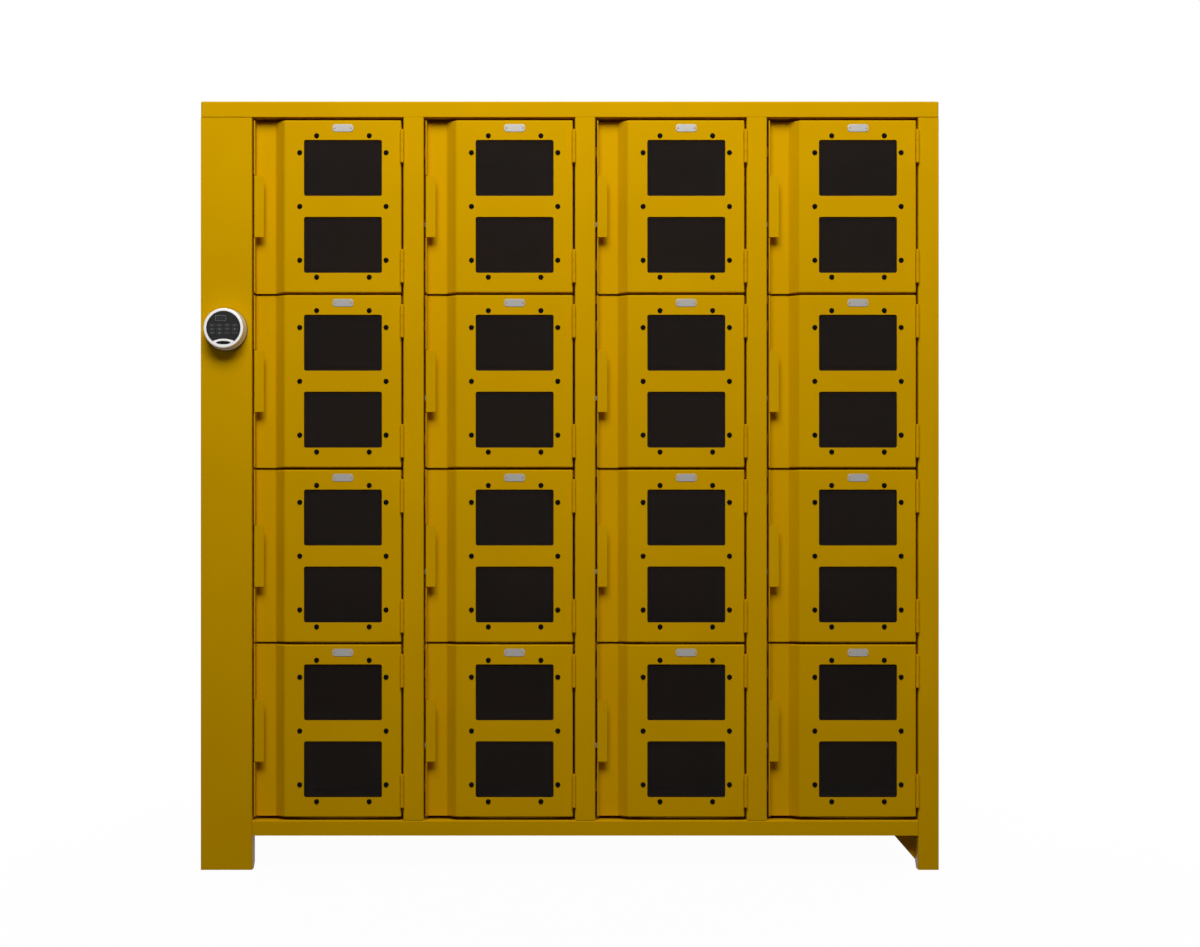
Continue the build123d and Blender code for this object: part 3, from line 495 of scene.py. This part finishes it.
def flatPlate(outline, sheet, edge, depth=0.0, filled=True):
    # a plate across the door's plane; outline draws the edges of its rim and its holes
    shape = bmesh.new()
    if filled:
        fillRound(shape, outline(shape))
    else:  # one smooth rim
        bmesh.ops.contextual_create(shape, geom=outline(shape))
    bmesh.ops.remove_doubles(shape, verts=shape.verts, dist=0.001)
    faceTo(shape)
    bmesh.ops.translate(shape, verts=shape.verts, vec=(0, depth, 0))
    return finished(shape, sheet, edge)


pane = {"margin": 21.0, "sheet": 4.8, "corner": 6.0, "edge": 0.3}
paneWidth = window["width"] + 2 * pane["margin"]
paneHeight = 2 * window["height"] + window["bar"] + 2 * pane["margin"]
paneMesh = flatPlate(lambda shape: roundedLoop(
    shape, doorMiddle, paneWidth, paneHeight, pane["corner"]) + screwHoles(shape),
    pane["sheet"], pane["edge"], doorPan["sheet"])

numberPlate = {"width": 52.0, "height": 18.6, "corner": 7.5, "sheet": 1.2, "drop": 19.5, "edge": 0.4,
               "rivetInset": 5.5, "rivet": ((0, -0.8), (0.9, -0.75), (1.7, -0.5), (2.2, 0), (0, 0))}
plateCentre = (doorMiddle[0], doorPan["height"] - numberPlate["drop"])
plateMesh = flatPlate(lambda shape: roundedLoop(
    shape, plateCentre, numberPlate["width"], numberPlate["height"], numberPlate["corner"], 8),
    numberPlate["sheet"], numberPlate["edge"], -numberPlate["sheet"])
rivetMesh = spun(numberPlate["rivet"], 14)
rivetX = numberPlate["width"] / 2 - numberPlate["rivetInset"]
rivetsMesh = joined([
    (rivetMesh, byMm(plateCentre[0] + reach, -numberPlate["sheet"], plateCentre[1]))
    for reach in (-rivetX, rivetX)])

keeper = {"x": 14.0, "width": 21.0, "reach": 19.9, "sheet": 4.0, "hole": 5.5, "holeDepth": 37.5,
          "corner": 3.0, "edge": 0.4}


def makeKeeper(size):
    # plate welded behind the recess, with the hole that the lock's finger rises into
    shape = bmesh.new()
    middle = doorPan["depth"] + doorPan["sheet"] + size["reach"] / 2
    rim = roundedLoop(shape, (size["x"], middle), size["width"], size["reach"], size["corner"], 4)
    fillRound(shape, rim + roundLoop(shape, (size["x"], size["holeDepth"]), size["hole"], 24))
    # laid flat: what was up now runs back
    shape.transform(Matrix.Diagonal((1, -1, 1, 1)) @ Matrix.Rotation(math.pi / 2, 4, "X"))
    faceTo(shape, (0, 0, 1))
    bmesh.ops.translate(shape, verts=shape.verts, vec=(0, 0, doorPan["height"] / 2 + size["sheet"]))
    return finished(shape, size["sheet"], size["edge"])


def atHinges(mesh, axisX=0.0, axisY=0.0):
    levels = (hinge["inset"], doorPan["height"] - hinge["inset"] - hinge["length"])
    return joined([(mesh, byMm(axisX, axisY, level)) for level in levels])


screwMesh = makeScrew(buttonScrew)
screwsMesh = joined([(screwMesh, byMm(x, 0, z)) for x, z in screwCentres()])
postLeaves = atHinges(makeHingeLeaf(hinge, False))
pinPair = atHinges(makeHingePin(hinge), doorPan["width"] + hinge["gap"] / 2, -hinge["proud"])
doorPieces = [
    ("doorPan", makeDoorPan(doorPan), polyesterPowderCoat, "yellow_powder_coat", "door"),
    ("doorKeeper", makeKeeper(keeper), polyesterPowderCoat, "yellow_powder_coat", "door"),
    ("doorHinges", atHinges(makeHingeLeaf(hinge, True)), polyesterPowderCoat, "yellow_powder_coat", "door"),
    ("numberPlate", plateMesh, anodisedAluminium, "plated_steel", "door"),
    ("plateRivets", rivetsMesh, yellowZincPlate, "plated_steel", "door"),
    ("pane", paneMesh, smokedPolycarbonate, "smoke_polycarbonate", "window"),
    ("paneScrews", screwsMesh, blackOxideSteel, "plated_steel", "window"),
]
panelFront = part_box("lock_panel")[0].y
origins = {}
for column, row in places:
    place = f"r{row}c{column}"
    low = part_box(f"door_{place}")[0]
    origins[place] = Vector((low.x, panelFront, low.z))
    for name, mesh, finish, slotName, node in doorPieces:
        copy = mesh.copy()
        copy.transform(Matrix.Translation(origins[place]))
        addPiece(f"{name}_{place}", copy, finish, f"door_{place}", f"{node}_{place}")
print("doors made")

everyDoor = [Matrix.Translation(at) for at in origins.values()]
for name, mesh, node in (("postHinges", postLeaves, "hinge_frame_leaves"),
                         ("hingePins", pinPair, "hinge_pins")):
    addPiece(name, joined([(mesh, at) for at in everyDoor]), polyesterPowderCoat, "cabinet",
             node)
print("hinges made")


# Keypad dial, made round its axis: y runs back from the panel's face

dialShell = {"rear": 52.0, "front": 49.0, "face": 42.0, "ledge": 38.5, "back": 6.4, "depth": 42.0,
             "rim": 2.5, "floor": 10.4, "seat": 38.0, "bore": 7.0, "grooves": (5.0, 7.0), "groove": 0.5,
             "cavity": 5.5, "chamfer": 0.35, "steps": 96}
keyField = {"radius": 41.7, "brow": 63.9, "browDrop": 90.4, "front": 40.6, "sheet": 2.6, "edge": 0.35,
            "tip": 1.2, "keyWidth": 15.0, "keyHeight": 7.0, "keyCorner": 1.5, "keyRaise": 0.8,
            "crown": 0.7, "columns": 4, "rows": 3, "columnStep": 18.6, "rowStep": 9.6, "top": 6.6,
            "digitHeight": 6.0, "ink": 0.03}
silverSegment = {"radius": 41.95, "brow": 63.6, "front": 41.95, "sheet": 3.9, "edge": 0.3, "oval": 35.6,
                 "ovalHeight": 8.8, "ovalDrop": 36.2, "plateSheet": 2.9, "plateGap": 0.3, "plateSunk": 0.4}
display = {"x": -6.6, "z": 24.0, "width": 29.0, "height": 16.8, "corner": 1.4, "raise": 0.8, "edge": 0.25,
           "frameWidth": 26.5, "frameHeight": 13.6, "frameLine": 0.5, "ink": 0.12}
keypadFoot = {"radius": 52.5, "height": 6.0, "bore": 7.0, "edge": 1.0}

baseLow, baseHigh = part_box("keypad_base")
dialPlace = Matrix.Translation(((baseLow.x + baseHigh.x) / 2, panelFront, (baseLow.z + baseHigh.z) / 2))


def rimArc(radius, centre, start, steps):
    # points of a bend in a turned profile, from one angle to the front
    turns = [math.radians(start + (-90 - start) * i / steps) for i in range(steps + 1)]
    return [(centre[0] + radius * math.cos(turn), centre[1] + radius * math.sin(turn)) for turn in turns]


def makeDialShell(size):
    back, depth, seat, bore = -size["back"], -size["depth"], -size["seat"], size["bore"]
    rear, front, face, cavity = size["rear"], size["front"], size["face"], size["cavity"]
    lean = (rear - front) / (back - depth)
    line = [(bore, back), (rear - 1.0, back), (rear - 0.2, back - 0.9)]
    for groove in size["grooves"]:  # fine turned grooves near the foot of the knob
        r, half = rear - lean * groove, size["groove"]
        line += [(r, back - groove + half), (r - half, back - groove), (r - 0.1, back - groove - half)]
    line += rimArc(size["rim"], (front - size["rim"], depth + size["rim"]), 5, 7)
    line += [(face + size["chamfer"], depth), (face, depth + size["chamfer"]), (face, seat),
             (size["ledge"], seat), (size["ledge"], seat + 4), (size["ledge"] + cavity, seat + 8),
             (size["ledge"] + cavity, -size["floor"]), (bore, -size["floor"]), (bore, back)]
    return spun(line, size["steps"], smooth=28)


def lensLoop(shape, radius, brow, below):
    # edges round the part of a disc that lies above or below the brow's arc
    drop = keyField["browDrop"]
    cross = -(drop ** 2 + radius ** 2 - brow ** 2) / (2 * drop)
    reach = math.sqrt(radius ** 2 - cross ** 2)
    here, top = math.atan2(cross, reach), math.atan2(cross + drop, reach)
    end = shape.verts.new((reach, 0, cross))
    for centre, angle, steps in (((0, 0, 0), -math.pi - 2 * here if below else math.pi - 2 * here, 40),
                                 ((0, 0, -drop), 2 * top - math.pi, 28)):
        made = bmesh.ops.spin(shape, geom=[end], cent=centre, axis=(0, -1, 0), angle=angle, steps=steps,
                              use_merge=False, use_duplicate=False)
        end = [item for item in made["geom_last"] if isinstance(item, bmesh.types.BMVert)][0]
    bmesh.ops.remove_doubles(shape, verts=shape.verts, dist=0.01)
    bmesh.ops.contextual_create(shape, geom=list(shape.edges))
    tips = [v for v in shape.verts if near(abs(v.co.x), reach) and near(v.co.z, cross)]
    soften(shape, tips, keyField["tip"], 3, "VERTICES")
    dropFaces(shape, list(shape.faces), True)
    return list(shape.edges)


def ovalLoop(shape, gap):
    # edges of the silver segment's oval, drawn in by a gap
    wide, high = silverSegment["oval"] - 2 * gap, silverSegment["ovalHeight"] - 2 * gap
    return roundLoop(shape, (0, -silverSegment["ovalDrop"]), high / 2, 48, stretch=wide / high)


def segmentOutline(shape):
    return lensLoop(shape, silverSegment["radius"], silverSegment["brow"], True) + ovalLoop(shape, 0)


def frameOutline(shape):
    centre, line = (display["x"], display["z"]), 2 * display["frameLine"]
    wide, high = display["frameWidth"], display["frameHeight"]
    return roundedLoop(shape, centre, wide, high, 0.9) + roundedLoop(shape, centre, wide - line,
                                                                     high - line, 0.4)


def keyCentres(size):
    left = -(size["columns"] - 1) * size["columnStep"] / 2
    return [(left + column * size["columnStep"], size["top"] - row * size["rowStep"])
            for row in range(size["rows"]) for column in range(size["columns"])]


def makeKeys(size):
    # soft keys: each pad is inset and lifted, so its top is slightly crowned
    shape = bmesh.new()
    for centre in keyCentres(size):
        pad = bmesh.ops.contextual_create(shape, geom=roundedLoop(
            shape, centre, size["keyWidth"], size["keyHeight"], size["keyCorner"]))["faces"]
        walls = bmesh.ops.extrude_face_region(shape, geom=pad)
        bmesh.ops.translate(shape, verts=vertsOf(walls), vec=(0, -size["keyRaise"] * 0.7, 0))
        top = [item for item in walls["geom"] if isinstance(item, bmesh.types.BMFace)]
        bmesh.ops.inset_individual(shape, faces=top, thickness=size["crown"], depth=0)
        bmesh.ops.translate(shape, verts=list(top[0].verts), vec=(0, -size["keyRaise"] * 0.3, 0))
    bmesh.ops.recalc_face_normals(shape, faces=shape.faces)
    bmesh.ops.translate(shape, verts=shape.verts, vec=(0, -size["front"], 0))
    return finished(shape, 0.0, 0.15, 50)


def makeDigits(size):
    # pad-printed digits on the first ten keys; the last two keys stay bare
    flat = []
    for label, (x, z) in zip("1234567890", keyCentres(size)):
        text = bpy.data.curves.new("digit", "FONT")
        text.body, text.size, text.extrude = label, size["digitHeight"], size["ink"]
        text.align_x, text.align_y = "CENTER", "CENTER"
        carrier = placed("digit", text)
        mesh = finalMesh(carrier)
        bpy.data.objects.remove(carrier)
        place = Matrix.Translation((x, -size["front"] - size["keyRaise"] - 0.04, z))
        flat.append((mesh, Matrix.Scale(mm, 4) @ place @ Matrix.Rotation(math.pi / 2, 4, "X")))
    return joined(flat)


footTurn = keypadFoot["edge"]
footLine = [(keypadFoot["bore"], 0), (keypadFoot["radius"], 0)]
footLine += rimArc(footTurn, (keypadFoot["radius"] - footTurn, footTurn - keypadFoot["height"]), 0, 5)
footLine += [(keypadFoot["bore"], -keypadFoot["height"]), (keypadFoot["bore"], 0)]
lensFront = -keyField["front"] - display["raise"]
dialPieces = [
    ("keypadFoot", spun(footLine, 96), mouldedBlackAbs, "cabinet", "black_plastic", "keypad_base"),
    ("dialShell", makeDialShell(dialShell), satinChrome, "dial", "satin_chrome", "dial_housing"),
    ("silverSegment", flatPlate(segmentOutline, silverSegment["sheet"], silverSegment["edge"],
                                -silverSegment["front"]),
     satinChrome, "dial", "satin_chrome", "dial_housing"),
    ("ovalPlate", flatPlate(lambda shape: ovalLoop(shape, silverSegment["plateGap"]),
                            silverSegment["plateSheet"], silverSegment["edge"],
                            silverSegment["plateSunk"] - silverSegment["front"], False),
     glossBlackAbs, "dial", "black_keys", "key_mat"),
    ("keyField", flatPlate(lambda shape: lensLoop(shape, keyField["radius"], keyField["brow"], False),
                           keyField["sheet"], keyField["edge"], -keyField["front"], False),
     siliconeRubber, "dial", "black_keys", "key_mat"),
    # the keys' paler rubber is painted light on their raised tops
    ("keys", makeKeys(keyField), siliconeKeysPaintedLight, "dial", "black_keys", "key_mat"),
    ("keyDigits", makeDigits(keyField), whitePadPrint, "dial", "black_keys", "key_mat"),
    ("displayLens", flatPlate(lambda shape: roundedLoop(
        shape, (display["x"], display["z"]), display["width"], display["height"], display["corner"]),
        display["raise"], display["edge"], lensFront), greyAcrylicLens, "dial", "display_lens",
     "display_window"),
    ("displayFrame", flatPlate(frameOutline, display["ink"], 0.0, lensFront - display["ink"]),
     whitePadPrint, "dial", "display_lens", "display_window"),
]
for name, mesh, finish, body, slotName, node in dialPieces:
    mesh.transform(dialPlace)
    addPiece(name, mesh, finish, body, node)
print("keypad made")


# Casing, in the frame's own places

casing = {"side": 914.4, "front": -283.8, "back": 325.8, "sheet": 2.7, "bend": 3.9, "top": 1866.0,
          "roof": 1905.0, "returnDepth": 44.0, "footCut": 15.0, "seam": 1.2, "firstJamb": -787.4,
          "lastJamb": 863.6, "postWidth": 50.8, "pitch": 425.45, "floorTop": 123.0, "railLow": 85.0,
          "railBend": 4.0, "notchFront": 33.5, "notchRise": 165.6, "notchHeight": 43.13, "edge": 0.6,
          "panelEdge": 0.5, "panelCorner": 1.0}
leg = {"sheet": 4.8, "width": 43.9, "depth": 100.0, "bend": 6.5, "height": 120.3}
gusset = {"inset": 47.0, "floorGap": 10.0, "foot": 35.0, "reach": 131.0}
# the welds' places: rows and columns as (first, step), the others as distances
plugWeld = {"radius": 6.0, "floor": 0.6, "depth": 0.7, "segments": 16, "along": (-210.0, -70.0, 70.0, 210.0),
            "column": (220.0, 210.0), "row": (-820.0, 234.0), "shelf": (110.0, 290.0),
            "bay": (260.0, 300.0), "bayX": 262.0}
sideInside = casing["side"] - casing["sheet"]
returnBack = casing["front"] + casing["returnDepth"]
doorFeet = [origins[f"r{row}c1"].z / mm for row in range(1, 5)]


def cutNotches(shape, size, x):
    # openings in a return for the lock bar's tabs, one behind each door's keeper
    lows = [foot + size["notchRise"] for foot in doorFeet]
    start = size["front"] + size["notchFront"]
    cuts = [((0, 0, low + rise), (0, 0, 1)) for low in lows for rise in (0, size["notchHeight"])]
    flange = slicedFlange(shape, x, cuts + [((0, start, 0), (0, 1, 0))])
    dropFaces(shape, [face for face in flange if face.calc_center_median().y > start and
                      any(0 < face.calc_center_median().z - low < size["notchHeight"] for low in lows)])


def wall(shape, way=(0, -1, 0), sheet=casing["sheet"], edge=casing["edge"]):
    faceTo(shape, way)
    return finished(shape, sheet, edge)


def makeStile(size, outer, jamb, pierced):
    # a front plate and one return, down to the floor; its top stops just under the header
    front = size["front"]
    shape = foldedSheet([(outer, front), (jamb, front), (jamb, returnBack)], [size["bend"]], 0,
                        size["top"] - size["seam"])
    foot = [v for v in shape.verts if near(v.co.y, returnBack) and near(v.co.z, 0)]
    soften(shape, foot, size["footCut"], 1, "VERTICES")
    if pierced:
        cutNotches(shape, size, jamb)
        axis = dialPlace.translation / mm
        fillRound(shape, openField(shape) + roundLoop(shape, (axis.x, axis.z), keypadFoot["bore"], 24, front))
    return wall(shape)


def makePost(size, right):
    left, front = right - size["postWidth"], size["front"]
    shape = foldedSheet([(left, returnBack), (left, front), (right, front), (right, returnBack)],
                        [size["bend"]] * 2, size["floorTop"], size["top"] - 0.2)
    cutNotches(shape, size, right)
    return wall(shape)


def makeRoofCap(size):
    # a pan turned down all round; its front is the header
    shape = bmesh.new()
    extent = (2 * size["side"], size["back"] - size["front"], size["roof"] - size["top"], 1)
    centre = (0, (size["front"] + size["back"]) / 2, (size["top"] + size["roof"]) / 2)
    bmesh.ops.create_cube(shape, size=1, matrix=Matrix.Translation(centre) @ Matrix.Diagonal(extent))
    dropFaces(shape, [min(shape.faces, key=lambda face: face.calc_center_median().z)], True)
    soften(shape, [edge for edge in shape.edges if not edge.is_boundary], size["bend"], 5)
    return wall(shape, (0, 0, 1))


def makeFloorPan(size):
    # the floor of the lowest compartments; its front is turned down as the rail
    front, deep = size["front"], size["back"] - size["sheet"]
    left, right = size["firstJamb"] + 0.3, size["lastJamb"] - 0.3
    outline = [(left, front), (right, front), (right, returnBack), (sideInside, returnBack),
               (sideInside, deep), (-sideInside, deep), (-sideInside, returnBack), (left, returnBack)]
    shape = bmesh.new()
    corners = [shape.verts.new((x, y, size["floorTop"])) for x, y in outline]
    shape.faces.new(corners)
    fold = shape.edges.get(corners[:2])
    pull(shape, [fold], (0, 0, size["railLow"] - size["floorTop"]))
    soften(shape, [fold], size["railBend"], 5)
    return wall(shape, (0, 0, 1))


def makeWeldedPanel(size, width, welds, turn, centre):
    # a flat sheet with a shallow dimple at each plug weld; made facing forwards, then turned
    shape = bmesh.new()
    low, high = size["railLow"], size["top"]
    rim = roundedLoop(shape, (0, (low + high) / 2), width, high - low, size["panelCorner"], 2)
    rings = [roundLoop(shape, place, plugWeld["radius"], plugWeld["segments"]) for place in welds]
    fillRound(shape, rim + [edge for ring in rings for edge in ring])
    for ring, (x, z) in zip(rings, welds):
        sunk, inner = pull(shape, ring, (0, plugWeld["depth"], 0))
        bmesh.ops.scale(shape, verts=sunk, vec=(plugWeld["floor"], 1, plugWeld["floor"]),
                        space=Matrix.Translation((-x, 0, -z)))
        bmesh.ops.contextual_create(shape, geom=inner)
    faceTo(shape)
    shape.transform(Matrix.Translation(centre) @ Matrix.Rotation(math.radians(turn), 4, "Z"))
    return finished(shape, size["sheet"], size["panelEdge"])


def makeLeg(size, side, end):
    # an angle of plate inside the corner, down to the floor
    outer = side * sideInside
    face = end * (casing["back"] - casing["sheet"]) if end > 0 else casing["front"] + casing["sheet"]
    line = [(outer - side * size["width"], face), (outer, face), (outer, face - end * size["depth"])]
    return wall(foldedSheet(line, [size["bend"]], 0, size["height"]), (side, 0, 0), size["sheet"])


def makeGusset(size, side, end):
    # a tapered plate from the leg to the underside of the floor pan
    root = side * (sideInside - leg["sheet"])
    face = casing["back"] - size["inset"] if end > 0 else casing["front"] + size["inset"]
    shape = bmesh.new()
    outline = [(root, size["floorGap"]), (root - side * size["foot"], size["floorGap"]),
               (root - side * size["reach"], leg["height"]), (root, leg["height"])]
    shape.faces.new([shape.verts.new((x, face, z)) for x, z in outline])
    return wall(shape, (0, end, 0), leg["sheet"])


def steps(place, count):
    return [place[0] + place[1] * step for step in range(count)]


postRights = [casing["firstJamb"] + casing["pitch"] * column for column in (1, 2, 3)]
webs = [right - casing["postWidth"] / 2 for right in postRights] + [casing["firstJamb"]]
shelfLevels = [foot - 4.0 for foot in doorFeet[:3]]
floorLevel = casing["floorTop"] - casing["sheet"] / 2
sideMiddle = (casing["front"] + casing["sheet"] + casing["back"]) / 2
sideWidth = casing["back"] - casing["front"] - casing["sheet"]
# the back is seen from behind, so its places are mirrored
backWelds = [(-x, z) for x in webs for z in steps(plugWeld["column"], 8)]
backWelds += [(-(web + reach), level) for web in webs for reach in plugWeld["shelf"] for level in shelfLevels]
backWelds += [(x, floorLevel) for x in steps(plugWeld["row"], 8)]
rightWelds = [(x, level) for x in plugWeld["along"] for level in shelfLevels + [floorLevel]]
leftWelds = [(x, floorLevel) for x in plugWeld["along"]]
leftWelds += [(plugWeld["bayX"], z) for z in steps(plugWeld["bay"], 6)]
corners = [(side, end) for side in (-1, 1) for end in (-1, 1)]
casingPieces = [
    ("lockPanel", makeStile(casing, -casing["side"], casing["firstJamb"], True), "lock_panel"),
    ("rightStile", makeStile(casing, casing["side"], casing["lastJamb"], False), "right_stile"),
    ("centrePosts", joined([(makePost(casing, right), Matrix()) for right in postRights]), "centre_posts"),
    ("roofCap", makeRoofCap(casing), "roof_cap"),
    ("floorPan", makeFloorPan(casing), "floor_pan"),
    ("sidePanelLeft", makeWeldedPanel(casing, sideWidth, leftWelds, -90,
                                      (-casing["side"], sideMiddle, 0)), "side_panel_left"),
    ("sidePanelRight", makeWeldedPanel(casing, sideWidth, rightWelds, 90,
                                       (casing["side"], sideMiddle, 0)), "side_panel_right"),
    ("backPanel", makeWeldedPanel(casing, 2 * sideInside, backWelds, 180, (0, casing["back"], 0)),
     "back_panel"),
    ("cornerLegs", joined([(makeLeg(leg, *corner), Matrix()) for corner in corners]), "legs"),
    ("legGussets", joined([(makeGusset(gusset, *corner), Matrix()) for corner in corners]), "leg_gussets"),
]
for name, mesh, node in casingPieces:
    addPiece(name, mesh, polyesterPowderCoat, "cabinet", node)

stopBumper = {"x": 7.5, "levels": (72.5, 354.75), "steps": 20,
              "line": ((0, 28.6), (1.6, 28.5), (3.9, 28.4), (4.7, 28.7), (5, 29.3), (5, 31.6), (0, 31.6))}
bumperMesh = spun(stopBumper["line"], stopBumper["steps"])
addPiece("stopBumpers", joined([
    (bumperMesh, at @ byMm(stopBumper["x"], 0, level)) for at in everyDoor
    for level in stopBumper["levels"]]), nitrileRubber, "cabinet", "stop_bumpers")
print("casing made")

# the CAD parts that still show get soft edges
softNode = {"merge": 0.00001, "flat": 1.0, "edge": 0.3}
for name in ("shelves", "partitions", "ceiling_panel", "door_stops", "bar_guides", "lock_bars", "tie_bar",
             "drive_rack", "lock_case", "dial_spindle", "keypad_electronics"):
    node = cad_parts[name]
    node.modifiers.new("merge", "WELD").merge_threshold = softNode["merge"]
    plain = node.modifiers.new("plain", "DECIMATE")
    plain.decimate_type, plain.angle_limit = "DISSOLVE", math.radians(softNode["flat"])
    soft = node.modifiers.new("edges", "BEVEL")
    soft.width, soft.segments, soft.limit_method = softNode["edge"] * mm, 2, "ANGLE"
    soft.angle_limit = math.radians(50)
    node.modifiers.new("flats", "WEIGHTED_NORMAL").keep_sharp = True
print("edges softened")


# Camera, floor and light, in metres

view = {"height": 0.815, "distance": 4.7, "lens": 56.9, "sensor": 36.0, "shiftX": 0.0252, "shiftY": 0.0563,
        "farthest": 100.0}
camera = placed("camera", bpy.data.cameras.new("camera"))
bpy.context.scene.camera = camera
camera.location = (0.0, panelFront - view["distance"], view["height"])
camera.rotation_euler = (math.pi / 2, 0, 0)
camera.data.sensor_width, camera.data.lens = view["sensor"], view["lens"]
camera.data.shift_x, camera.data.shift_y = view["shiftX"], view["shiftY"]
camera.data.clip_end = view["farthest"]

studioPaper = {"colour": "#505050", "roughness": 0.9, "reach": 16.0, "nearShare": 0.82, "near": 1.2,
               "far": 2.6, "lit": 0.15, "ambient": 0.008}


def addSeen(tree):
    # one for a ray that looks at the background straight on, in a reflection or through glass
    light = addNode(tree, "LightPath")
    seen = addNode(tree, "Math", {"operation": "MAXIMUM"},
                   {0: (light, "Is Camera Ray"), 1: (light, "Is Glossy Ray")})
    return addNode(tree, "Math", {"operation": "MAXIMUM"},
                   {0: (seen, "Value"), 1: (light, "Is Transmission Ray")})


def makePaper(values):
    # white paper that the camera sees nearly as pure white and that still keeps the shadow
    material, tree, paper = newMaterial("mattWhitePaper")
    paper.inputs["Base Color"].default_value = linear(values["colour"])
    paper.inputs["Roughness"].default_value = values["roughness"]
    # the glow's share is smaller near the locker, where the paper still shows the shadow
    place = addNode(tree, "TexCoord")
    away = addNode(tree, "VectorMath", {"operation": "LENGTH"}, {"Vector": (place, "Object")})
    part = addNode(tree, "MapRange", {"From Min": values["near"], "From Max": values["far"],
                                      "To Min": values["nearShare"], "To Max": 1.0},
                   {"Value": (away, "Value")})
    paler = addNode(tree, "Math", {"operation": "DIVIDE", 0: 1.0 - values["lit"]}, {1: (part, "Result")})
    strength = addNode(tree, "Math", {"operation": "ADD", 1: values["lit"]}, {0: (paler, "Value")})
    glow = addNode(tree, "Emission", {"Color": (1, 1, 1, 1)}, {"Strength": (strength, "Value")})
    share = addNode(tree, "Math", {"operation": "MULTIPLY"},
                    {0: (addSeen(tree), "Value"), 1: (part, "Result")})
    mix = addNode(tree, "MixShader", links={0: (share, "Value"), 1: (paper, "BSDF"), 2: (glow, "Emission")})
    tree.links.new(mix.outputs["Shader"], tree.nodes["Material Output"].inputs["Surface"])
    return material


sheet = bmesh.new()
bmesh.ops.create_grid(sheet, x_segments=8, y_segments=8, size=studioPaper["reach"])
sheetMesh = bpy.data.meshes.new("studioFloor")
sheet.to_mesh(sheetMesh)
sheet.free()
studioFloor = placed("studioFloor", sheetMesh)
sheetMesh.materials.append(makePaper(studioPaper))

lamps = {"frontSoftbox": {"at": (0.0, -4.0, 5.3), "aim": (0.0, -0.28, 3.5), "size": (3.6, 3.0),
                          "watts": 155.0, "grid": 110.0, "mirrored": True}}
for name, side in (("rearLeftSoftbox", -1), ("rearRightSoftbox", 1)):
    lamps[name] = {"at": (side * 3.4, 3.6, 2.6), "aim": (side * 0.5, 0.1, 0.9), "size": (2.4, 2.4),
                   "watts": 100.0, "grid": 180.0, "mirrored": False}
for name, values in lamps.items():
    lamp = bpy.data.lights.new(name, "AREA")
    lamp.shape, lamp.size, lamp.size_y = "RECTANGLE", *values["size"]
    lamp.energy, lamp.spread = values["watts"], math.radians(values["grid"])
    holder = placed(name, lamp)
    holder.location = values["at"]
    holder.rotation_euler = (Vector(values["aim"]) - Vector(values["at"])).to_track_quat("-Z", "Y").to_euler()
    holder.visible_camera, holder.visible_glossy = False, values["mirrored"]

# the world is white where it is looked at, and a faint even light otherwise
world = bpy.data.worlds.new("studio")
bpy.context.scene.world = world
world.use_nodes = True
surround = world.node_tree.nodes["Background"]
surround.inputs["Color"].default_value = (1, 1, 1, 1)
level = addNode(world.node_tree, "MapRange", {"To Min": studioPaper["ambient"], "To Max": 1.0},
                {"Value": (addSeen(world.node_tree), "Value")})
world.node_tree.links.new(level.outputs["Result"], surround.inputs["Strength"])
bpy.context.scene.view_settings.view_transform = "Standard"
print("studio made")
